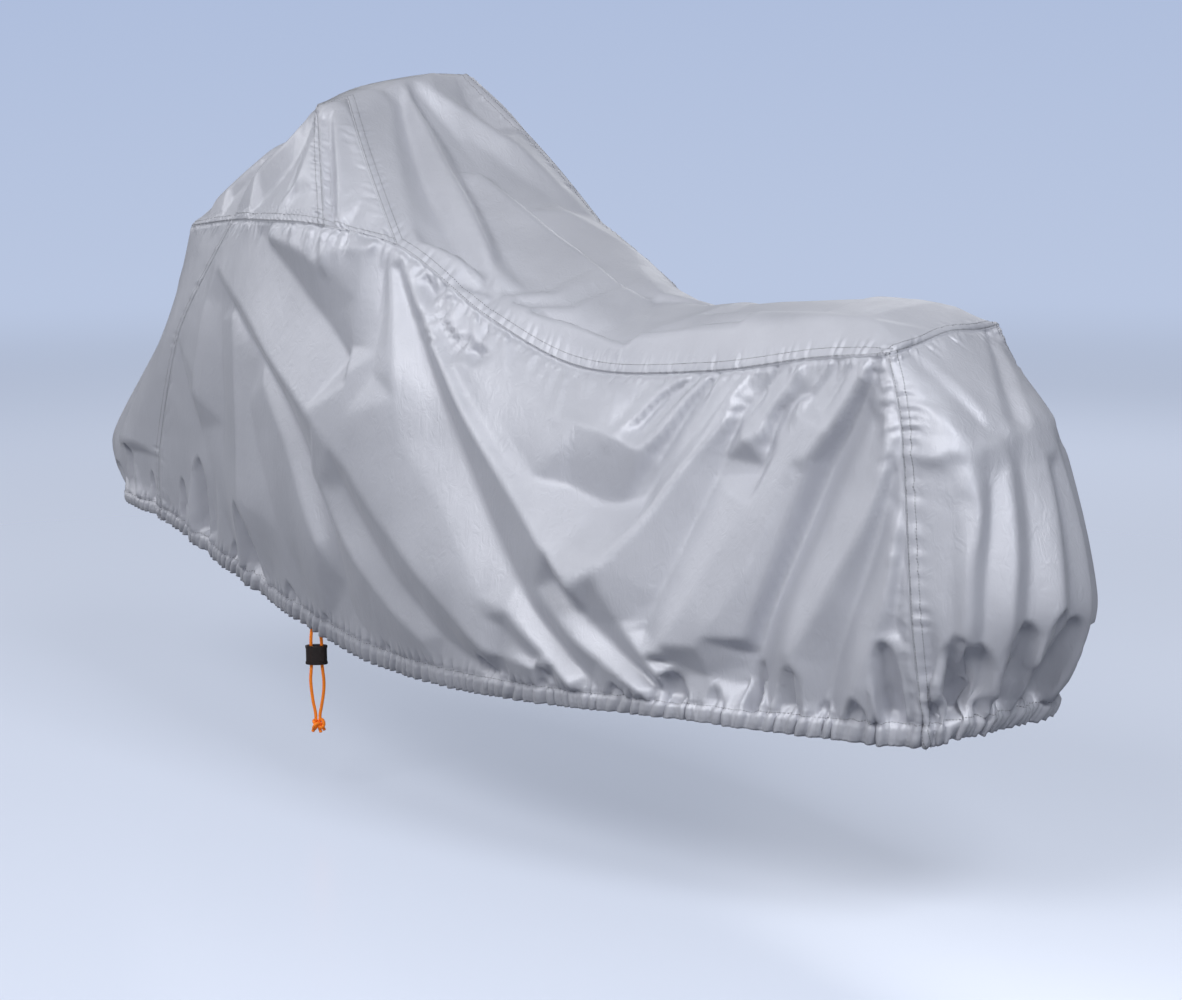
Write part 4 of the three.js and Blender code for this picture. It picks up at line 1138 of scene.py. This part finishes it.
# The hem channel and the cloth above it. The elastic draws the channel into tight tubes, tightest at
# the nose and the tail, and the cloth above it falls into hollows with arched tops.
CHANNEL_TUBES = ((236, 0.75), (318, 0.5))
CHANNEL_TUBES_HIGH = 12
CHANNEL_WOBBLE = ((1.4, 23, 0.7), (0.9, 61, 2.1))
CHANNEL_SLANT, SLANT_TURNS = 1.6, 17
CHANNEL_CREASE, CREASE_TALL = 3.5, 0.09
SEAM_FREE = (0.06, 0.24)
ARCH_EDGE, ARCH_FALL = 0.022, 0.13
ARCH_CURVE = 2.2
ARCH_TALL = 720
ARCH_DEEPER = 2.1
ARCH_STEP = 0.42
ARCH_FADE = 0.85
ARCH_POWER = 1.7
RIM_SHARE, RIM_PLACE, RIM_WIDE = 0.28, 1.15, 0.3
LEAN_PER_RIB = 100
ARCHES = [
    # rib place, the top's place as a share from seam to hem, half width, depth, lean
    (0.35, 0.70, 24, 12, 0), (0.95, 0.78, 22, 12, 0.1), (1.42, 0.68, 24, 14, 0.2),
    (1.78, 0.79, 18, 12, 0.2), (2.12, 0.86, 15, 8, 0), (2.36, 0.76, 22, 14, 0.9),
    (2.62, 0.64, 34, 16, 1.1), (3.2, 0.86, 22, 9, 0.3), (3.42, 0.70, 48, 15, 1.5),
    (4.0, 0.87, 42, 9, 1.2), (4.5, 0.90, 26, 8, 0.8), (5.3, 0.90, 34, 7, 0.8), (6.5, 0.86, 40, 9, 1.0),
    (7.1, 0.90, 26, 7, 0.5), (7.7, 0.885, 28, 9, 0.3), (8.12, 0.83, 30, 11, 0.5),
    (8.42, 0.87, 24, 10, -0.3), (8.72, 0.80, 15, 15, -0.8), (8.98, 0.80, 27, 13, -0.6),
    (9.2, 0.89, 18, 9, 0), (9.47, 0.87, 32, 11, -0.2), (9.74, 0.735, 22, 14, 0),
    (10.34, 0.865, 26, 11, 0), (10.52, 0.74, 12, 8, 0), (10.7, 0.71, 20, 13, 0.1),
    (11.02, 0.73, 25, 16, 0), (11.3, 0.86, 13, 9, 0), (11.56, 0.675, 24, 15, 0), (11.8, 0.79, 12, 9, 0),
    (11.98, 0.65, 22, 15, 0),
]


def run_round(v):
    """The distance round the cover along a level, over its rib places."""
    u = np.linspace(0, STATIONS, 2401)
    return u, run_along(skirt_base(u, v)) / MM


seam_u, seam_run = run_round(0)
hem_u, hem_run = run_round(1)

FAR_ARCH_WIDE, FAR_ARCH_DEEP = (14, 32), (8, 15)
FAR_ARCH_LEAN, FAR_ARCH_APART = (-0.5, 0.5), (0.26, 0.5)


def arches_all_round():
    """The arches of the left side, and seeded ones of like sizes on the right."""
    draw = np.random.default_rng(11)
    arches, place = list(ARCHES), TAIL + 0.32
    while place < STATIONS - 0.3:
        from_tail = min(place - TAIL, STATIONS - place) / 4
        high = draw.uniform(0.66, 0.87) if from_tail < 0.75 else draw.uniform(0.8, 0.9)
        sizes = [draw.uniform(*limits) for limits in (FAR_ARCH_WIDE, FAR_ARCH_DEEP, FAR_ARCH_LEAN)]
        arches.append((place, high, *sizes))
        place += draw.uniform(*FAR_ARCH_APART)
    return arches


def hem_relief(u, v):
    """The tubes of the channel and the arched hollows above it, as a distance outwards."""
    turn = np.mod(u, STATIONS)
    round_run, whole = np.interp(turn, hem_u, hem_run), hem_run[-1]
    gathers = [row[0] for row in RIBS]
    gather = np.interp(np.minimum(turn, STATIONS - turn), np.arange(TAIL + 1), gathers) / max(gathers)
    tall = (v - CHANNEL_START) / (1 - CHANNEL_START)
    turns = 2 * np.pi * round_run / whole
    wobble = sum(size * np.sin(count * turns + phase) for size, count, phase in CHANNEL_WOBBLE)
    slant = CHANNEL_SLANT * tall * (1 + (1 - gather) * np.sin(SLANT_TURNS * turns))
    tubes = sum(
        high * (np.abs(np.sin(count / 2 * turns + wobble * (i + 1) / 2 + slant)) - 0.6)
        for i, (count, high) in enumerate(CHANNEL_TUBES)
    )
    total = CHANNEL_TUBES_HIGH * (0.55 + 0.45 * gather) * tubes * smooth(-0.75, 0.1, tall)
    total -= CHANNEL_CREASE * np.exp(-(tall / CREASE_TALL) ** 2)
    corner = np.min([np.abs(turn - place) for place in CORNERS], axis=0)
    seam_free = smooth(*SEAM_FREE, corner)
    for place, top, wide, deep, lean in arches_all_round():
        away = round_run - np.interp(place, hem_u, hem_run) - lean * LEAN_PER_RIB * (v - top)
        across = np.abs((away + whole / 2) % whole - whole / 2) / wide
        edge = top + ARCH_CURVE * wide / ARCH_TALL * across ** 2
        inside = ARCH_STEP * smooth(0, ARCH_EDGE, v - edge)
        inside += (1 - ARCH_STEP) * np.clip((v - edge) / ARCH_FALL, 0, 1)
        inside *= 1 - ARCH_FADE * smooth(-0.35, 0.05, tall)
        hollow = np.maximum(1 - across ** ARCH_POWER, 0)
        rim = RIM_SHARE * np.exp(-((across - RIM_PLACE) / RIM_WIDE) ** 2)
        total -= deep * ARCH_DEEPER * (hollow - rim) * inside * seam_free
    return total


def runs_down(rows):
    """Each point's distance below the first row, along the cloth, in millimetres."""
    grid = np.linspace(0, 1, 500)
    lines = np.array([row_at(row, grid) for row in rows])
    steps = np.linalg.norm(np.diff(lines, axis=0), axis=2) / MM
    down = np.concatenate([np.zeros((1, len(grid))), np.cumsum(steps, axis=0)])
    return [np.interp(row["places"], grid, level) for row, level in zip(rows, down)], down[-1], grid


def edge_relief(sheet, seed):
    """The relief of a panel's four edges, at each of its points."""
    rows, kinds = sheet["rows"], EDGES[sheet["name"]]
    on_skirt = "u" in rows[0]
    down, whole, grid = runs_down(rows)
    left, right = (run_along([row["points"][i] for row in rows]) / MM for i in (0, -1))
    aways, runs = [], []
    for k, row in enumerate(rows):
        run = run_along(row["points"]) / MM
        up = np.interp(row["places"], grid, whole) - down[k]
        seam = np.interp(np.mod(row["u"], STATIONS), seam_u, seam_run) if on_skirt else run
        aways.append([down[k], up, run, run[-1] - run])
        runs.append([seam, run, np.full(len(run), left[k]), np.full(len(run), right[k])])
    aways, runs = np.hstack(aways), np.hstack(runs)
    out = np.zeros(len(sheet["points"]))
    for i, (kind, strength) in enumerate(kinds):
        away, run = aways[i], runs[i]
        if kind == LAP:
            if on_skirt:
                strength = strength * np.interp(run, *CORNER_PUCKERS)
            out += lap_relief(away, run, strength, seed + i)
        elif kind == TUCK:
            tucks = seeded_tucks(run.max(), strength, seed + i)
            if sheet["name"] == "side_left" and i == 0:
                tucks += [(np.interp(place, seam_u, seam_run), *rest) for place, *rest in TUCKS_LEFT]
            out += tuck_relief(away, run, tucks)
    sewn_edges = [0, 2, 3] if kinds[1][0] == PLAIN else [0, 1, 2, 3]
    return out * np.prod(np.minimum(aways[sewn_edges], 1), axis=0)


normals = shared_normals(sheets)
for seed, (sheet, normal) in enumerate(zip(sheets, normals)):
    relief = edge_relief(sheet, seed * 10)
    if "u" in sheet["rows"][0]:
        relief += hem_relief(np.concatenate([row["u"] for row in sheet["rows"]]), sheet["v"])
    sheet["points"] = sheet["points"] + normal * relief[:, None] * MM
normals = shared_normals(sheets)

SHEET_THICKNESS = 0.0016
HEM_THICKNESS = 0.006
SEAM_GAP = 0.0001
HEM_ROUND = 1.15


def thickness_at(v):
    """The single cloth, and the flattened tube of the hem channel with its rounded lower edge."""
    share = np.clip((v - CHANNEL_START) / (1 - CHANNEL_START), 0, 1)
    swell = np.sin(np.pi * np.minimum(share * HEM_ROUND + 0.02, 1)) ** 0.5
    return np.where(share > 0, SHEET_THICKNESS + (HEM_THICKNESS - SHEET_THICKNESS) * swell, SHEET_THICKNESS)


def closed_sheet(sheet, normal):
    """The panel's two faces and its cut edge all round, drawn in by half the gap of the seam."""
    points, faces = sheet["points"], sheet["faces"]
    rim = {}
    for face in faces:
        for start, end in zip(face, (*face[1:], face[0])):
            if rim.pop((end, start), None) is None:
                rim[(start, end)] = True
    middle = points.copy()
    for start, end in rim:
        ahead = points[end] - points[start]
        for i in (start, end):
            middle[i] += unit(np.cross(normal[i], ahead)) * SEAM_GAP / 2
    half = thickness_at(sheet["v"])[:, None] / 2
    under = len(points)
    both = np.vstack([middle + normal * half, middle - normal * half])
    solid = list(faces) + [tuple(i + under for i in face[::-1]) for face in faces]
    solid += [(start, start + under, end + under, end) for start, end in rim]
    return both, solid, np.vstack([sheet["uv"], sheet["uv"]])


# Creases that a folded thin cloth keeps: a height of broad soft dents and one of fine sharp wrinkles.
CREASE_STRETCH = (1.0, 1.0, 0.45)
FINER = 5.5
creases, enter, add, leave = new_group(
    "kept_creases",
    [("Vector", "Vector", None), ("Per Metre", "Float", 12.0)],
    [("Height", "Float"), ("Fine", "Float")],
)
drawn = add("ShaderNodeMapping", {"Vector": enter["Vector"], "Scale": CREASE_STRETCH}).outputs["Vector"]
dents = add("ShaderNodeTexNoise", {"Vector": drawn, "Scale": enter["Per Metre"], "Detail": 2.0})
sharp = add("ShaderNodeTexNoise", {
    "Vector": drawn, "Scale": maths(add, "MULTIPLY", enter["Per Metre"], FINER),
    "Detail": 3.0, "Distortion": 0.8,
})
folded = maths(add, "ABSOLUTE", maths(add, "SUBTRACT", sharp.outputs["Fac"], 0.5))
leave({"Height": dents.outputs["Fac"], "Fine": folded})

# A plain weave over a UV map in metres: threads that go over and under each other.
THREADS_PER_METRE = 2200.0
weave, enter, add, leave = new_group(
    "plain_weave",
    [("Vector", "Vector", None), ("Threads", "Float", THREADS_PER_METRE)],
    [("Height", "Float")],
)
split = add("ShaderNodeSeparateXYZ", {"Vector": enter["Vector"]})
waves = []
for axis in ("X", "Y"):
    turned = maths(add, "MULTIPLY", split.outputs[axis], enter["Threads"])
    waves.append(maths(add, "SINE", maths(add, "MULTIPLY", turned, math.pi)))
leave({"Height": maths(add, "MULTIPLY", *waves)})

CLOTH_SILVER = (0.51, 0.52, 0.572, 1)
CLOTH_SHADE = (0.465, 0.475, 0.525, 1)


def coated_cloth():
    """Silver-grey coated polyester: a satin coat over a plain weave, with the creases of its folding."""
    material, add, finish = new_material("silver_coated_cloth")
    place = add("ShaderNodeTexCoord").outputs["Object"]
    uv = add("ShaderNodeUVMap", uv_map="UVMap").outputs["UV"]
    fine = add("ShaderNodeGroup", {"Vector": place, "Grains": 420.0}, node_tree=grain)
    crease = add("ShaderNodeGroup", {"Vector": place, "Per Metre": 11.0}, node_tree=creases)
    thread = add("ShaderNodeGroup", {"Vector": uv, "Threads": THREADS_PER_METRE}, node_tree=weave)
    tint = spread(add, fine.outputs["Mask"], (0.3, 0.7))
    broad = bumped(add, crease.outputs["Height"], 0.35, 0.012)
    wrinkled = bumped(add, crease.outputs["Fine"], 0.34, 0.004, Normal=broad)
    grained = maths(add, "ADD", thread.outputs["Height"], fine.outputs["Height"])
    finish({
        "Base Color": blend(add, tint, CLOTH_SHADE, CLOTH_SILVER), "Metallic": 0.22,
        "Roughness": spread(add, crease.outputs["Height"], (0.3, 0.7), (0.46, 0.56)),
        "Normal": bumped(add, grained, 0.12, 0.00012, Normal=wrinkled),
        "Sheen Weight": 0.12, "Sheen Roughness": 0.45,
    })
    return material


silver_cloth = coated_cloth()
FLAT_CUTS = {
    # width and length of the cut in metres, and its area in square metres
    "top_panel": ((0.50, 1.48), 0.62),
    "hood_front": ((1.60, 0.60), 0.37),
    "gusset_left": ((0.18, 0.42), 0.033),
    "gusset_right": ((0.18, 0.42), 0.035),
    "front_panel": ((0.80, 0.85), 0.49),
    "side_left": ((2.20, 0.86), 1.43),
    "rear_panel": ((0.48, 0.76), 0.34),
    "side_right": ((2.20, 0.86), 1.44),
}
for sheet, normal in zip(sheets, normals):
    node = sheet["name"]
    panel = mesh_object("cloth_" + node, *closed_sheet(sheet, normal))
    panel.data.materials.append(silver_cloth)
    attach(panel, "root")
    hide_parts(node)
    flat, area = FLAT_CUTS[node]

# The stitches
# Dark grey polyester thread in plain lockstitch: two rows along the lap of every seam, and one row
# that closes the hem channel. They run through the cloth, which is drawn in under each row.
STITCH_PITCH, STITCH_LONG, THREAD = 5.0, 3.9, 0.75
BEAD_SIDES, BEAD_RINGS = 5, 3
THREAD_GREY = (0.10, 0.105, 0.118, 1)
THREAD_PALE = (0.16, 0.165, 0.18, 1)
NEAR_ROWS = 14
ROOM_FOR_ROW = 3


def outer_rows(sheet, normal):
    """The rows of the panel's outer face."""
    outer = sheet["points"] + normal * thickness_at(sheet["v"])[:, None] / 2
    first, rows = 0, []
    for row in sheet["rows"]:
        rows.append({"places": row["places"], "points": outer[first:first + len(row["points"])]})
        first += len(row["points"])
    return rows


def across_at(lines, away):
    """A point of each line at one distance from its start, for lines of like numbers of points."""
    run = np.cumsum(np.linalg.norm(np.diff(lines, axis=1), axis=2), axis=1)
    run = np.concatenate([np.zeros((len(lines), 1)), run], axis=1)
    return np.array([[np.interp(away, r, line[:, i]) for i in range(3)] for r, line in zip(run, lines)])


def stitch_rows(sheet, normal):
    """The paths of a panel's stitches: two along each lap, and one that closes its channel."""
    rows, kinds = outer_rows(sheet, normal), EDGES[sheet["name"]]
    grid = np.linspace(0, 1, 600)
    found = []
    for i, (kind, _) in enumerate(kinds):
        if kind != LAP:
            continue
        for away in LAP_ROWS:
            if i < 2:
                near = rows[:NEAR_ROWS] if i == 0 else rows[:-NEAR_ROWS - 1:-1]
                lines = np.array([row_at(row, grid) for row in near]).transpose(1, 0, 2)
                found.append(across_at(lines, away * MM))
            else:
                across = [row["points"][::-1 if i == 3 else 1] for row in rows]
                room = ROOM_FOR_ROW * away * MM
                roomy = [line for line in across if np.linalg.norm(line[0] - line[-1]) > room]
                found.append(np.vstack([across_at(line[None], away * MM) for line in roomy]))
    if "u" in sheet["rows"][0]:
        level = int(np.argmin([abs(row["v"][0] - CHANNEL_START) for row in sheet["rows"]]))
        found.append(rows[level]["points"])
    return found


def stitch_tree():
    """Stitches along curves: a slim bead of thread at each step, laid along the row."""
    tree, enter, add, leave = new_group(
        "stitch_rows",
        [
            ("Geometry", "Geometry", None), ("Pitch", "Float", STITCH_PITCH * MM),
            ("Length", "Float", STITCH_LONG * MM), ("Thread", "Float", THREAD * MM),
            ("Material", "Material", None),
        ],
        [("Geometry", "Geometry")],
        "GeometryNodeTree",
    )
    route = {"Curve": enter["Geometry"], "Length": enter["Pitch"]}
    steps = add("GeometryNodeCurveToPoints", route, mode="LENGTH")
    bead = add("GeometryNodeMeshUVSphere", {"Segments": BEAD_SIDES, "Rings": BEAD_RINGS, "Radius": 0.5})
    thick = maths(add, "MULTIPLY", enter["Thread"], 2)
    size = add("ShaderNodeCombineXYZ", {"X": thick, "Y": thick, "Z": enter["Length"]})
    shape = add("GeometryNodeTransform", {"Geometry": bead.outputs["Mesh"], "Scale": size.outputs[0]})
    lay = add("FunctionNodeAlignRotationToVector", {"Vector": steps.outputs["Tangent"]}, axis="Z")
    # the smallest and the largest scale of a stitch, and the seed
    uneven_size = add("FunctionNodeRandomValue", {2: 0.86, 3: 1.1, 8: 4}, data_type="FLOAT")
    place = add("GeometryNodeInstanceOnPoints", {
        "Points": steps.outputs["Points"], "Instance": shape.outputs["Geometry"],
        "Rotation": lay.outputs["Rotation"], "Scale": uneven_size.outputs[1],
    })
    real = add("GeometryNodeRealizeInstances", {"Geometry": place.outputs["Instances"]})
    dress = add("GeometryNodeSetMaterial", {
        "Geometry": real.outputs["Geometry"], "Material": enter["Material"],
    })
    leave({"Geometry": dress.outputs["Geometry"]})
    return tree


def thread_material():
    """Matt grey thread with a soft grain."""
    material, add, finish = new_material("grey_thread")
    place = add("ShaderNodeTexCoord").outputs["Object"]
    twist = add("ShaderNodeGroup", {"Vector": place, "Grains": 1800.0}, node_tree=grain).outputs["Height"]
    finish({
        "Base Color": blend(add, twist, THREAD_GREY, THREAD_PALE), "Roughness": 0.6,
        "Normal": bumped(add, twist, 0.3, 0.0002), "Sheen Weight": 0.2,
    })
    return material


lines = bpy.data.curves.new("stitch_lines", "CURVE")
lines.dimensions = "3D"
for sheet, normal in zip(sheets, normals):
    for path in stitch_rows(sheet, normal):
        line = lines.splines.new("POLY")
        line.points.add(len(path) - 1)
        line.points.foreach_set("co", np.column_stack([path, np.ones(len(path))]).ravel())
seams = bpy.data.objects.new("seam_stitches", lines)
bpy.context.scene.collection.objects.link(seams)
sewn = seams.modifiers.new("stitches", "NODES")
sewn.node_group = stitch_tree()
for item in sewn.node_group.interface.items_tree:
    if item.in_out == "INPUT" and item.name == "Material":
        sewn[item.identifier] = thread_material()
shown = seams.evaluated_get(bpy.context.evaluated_depsgraph_get())
stitches = bpy.data.objects.new("stitches", bpy.data.meshes.new_from_object(shown))
bpy.data.objects.remove(seams)
bpy.context.scene.collection.objects.link(stitches)
stitches.data.shade_smooth()
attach(stitches, "root")

# The floor and the backdrop
# A pale studio floor that curves up all round into a pale blue wall.
FLOOR = GROUND * MM
SWEEP_INNER, SWEEP_RADIUS = 0.5, 11
SWEEP_CURVE = 4
SWEEP_TOP = 9
FLOOR_ENDS = (4.5, 9.0)
WALL_GLOWS = (2.0, 12.0)
WALL_LIGHTS = 0.2
FLOOR_PALE = (0.44, 0.47, 0.54, 1)
FLOOR_BOUNCE = (0.24, 0.25, 0.28, 1)
FLOOR_GLOW = (0.32, 0.35, 0.42, 1)
WALL_LOW = (0.48, 0.56, 0.74, 1)
WALL_HIGH = (0.40, 0.49, 0.70, 1)
BLACK = (0, 0, 0, 1)
WALL_BASE = (0.02, 0.02, 0.02, 1)
WALL_BLUE_FROM = 1.4
SWEEP_SIDES = 96


def studio_sweep():
    bend = [
        [SWEEP_RADIUS + SWEEP_CURVE * math.sin(a), FLOOR + SWEEP_CURVE * (1 - math.cos(a))]
        for a in np.linspace(0, math.pi / 2, 24)
    ]
    profile = [[SWEEP_INNER, FLOOR], *bend, [SWEEP_RADIUS + SWEEP_CURVE, SWEEP_TOP]]
    points = [[0, 0, FLOOR]]
    for radius, height in profile:
        for a in 2 * np.pi * np.arange(SWEEP_SIDES) / SWEEP_SIDES:
            points.append([radius * math.cos(a), radius * math.sin(a), height])
    faces = [(0, 1 + j, 1 + (j + 1) % SWEEP_SIDES) for j in range(SWEEP_SIDES)]
    faces += [quad[::-1] for quad in ring_quads(len(profile), SWEEP_SIDES, first=1)]
    return mesh_object("studio_sweep", points, faces)


sweep = studio_sweep()
material, add, finish = new_material("pale_studio")
place = add("ShaderNodeTexCoord").outputs["Object"]
split = add("ShaderNodeSeparateXYZ", {"Vector": place})
flat = add("ShaderNodeCombineXYZ", {"X": split.outputs["X"], "Y": split.outputs["Y"]})
away = add("ShaderNodeVectorMath", {0: flat.outputs[0]}, operation="LENGTH").outputs["Value"]
reach, far = (spread(add, away, ends, interpolation_type="SMOOTHSTEP") for ends in (WALL_GLOWS, FLOOR_ENDS))
camera_ray = add("ShaderNodeLightPath").outputs["Is Camera Ray"]
blue = blend(add, spread(add, split.outputs["Z"], (FLOOR, WALL_BLUE_FROM)), WALL_LOW, WALL_HIGH)
near_glow = blend(add, camera_ray, BLACK, FLOOR_GLOW)
far_glow = blend(add, spread(add, camera_ray, target=(WALL_LIGHTS, 1.0)), BLACK, blue)
pale = blend(add, camera_ray, FLOOR_BOUNCE, FLOOR_PALE)
finish({
    "Base Color": blend(add, far, pale, WALL_BASE),
    "Emission Color": blend(add, reach, near_glow, far_glow), "Emission Strength": 1.0,
    "Roughness": spread(add, reach, target=(0.24, 1.0)), "Specular IOR Level": 0.35,
})
sweep.data.materials.append(material)

# The lights
# Large soft boxes: a strong one high in front of the side that shows, one above the tail, and weak
# ones before the nose and on the far side. A little light comes from all round.
SOFT_BOXES = [
    # name, place, target, width, height, power, colour
    ("high_box", (1.9, -4.6, 3.0), (0.3, 0, -0.4), 3.0, 1.8, 205, (1, 0.995, 0.99)),
    ("left_box", (-4.0, -2.8, 1.8), (0.0, 0, -0.3), 2.4, 2.0, 74, (1, 1, 1)),
    ("rear_box", (4.8, -1.3, 3.2), (0.9, 0, -0.4), 2.2, 1.8, 175, (0.97, 0.98, 1)),
    ("far_box", (-2.2, 5.0, 2.0), (0.2, 0, -0.4), 2.8, 1.8, 45, (0.97, 0.98, 1)),
]
AIR_BLUE = (0.66, 0.71, 0.80, 1)
AIR_STRENGTH = 0.22
for name, where, target, width, tall, power, colour in SOFT_BOXES:
    lamp = bpy.data.lights.new(name, "AREA")
    lamp.shape, lamp.size, lamp.size_y = "RECTANGLE", width, tall
    lamp.energy, lamp.color = power, colour
    box = bpy.data.objects.new(name, lamp)
    box.location = where
    box.rotation_mode = "QUATERNION"
    box.rotation_quaternion = (Vector(target) - Vector(where)).to_track_quat("-Z", "Y")
    bpy.context.scene.collection.objects.link(box)
world = bpy.data.worlds.new("studio_air")
world.use_nodes = True
world.node_tree.nodes["Background"].inputs["Color"].default_value = AIR_BLUE
world.node_tree.nodes["Background"].inputs["Strength"].default_value = AIR_STRENGTH
bpy.context.scene.world = world
bpy.context.scene.view_settings.view_transform = "Standard"
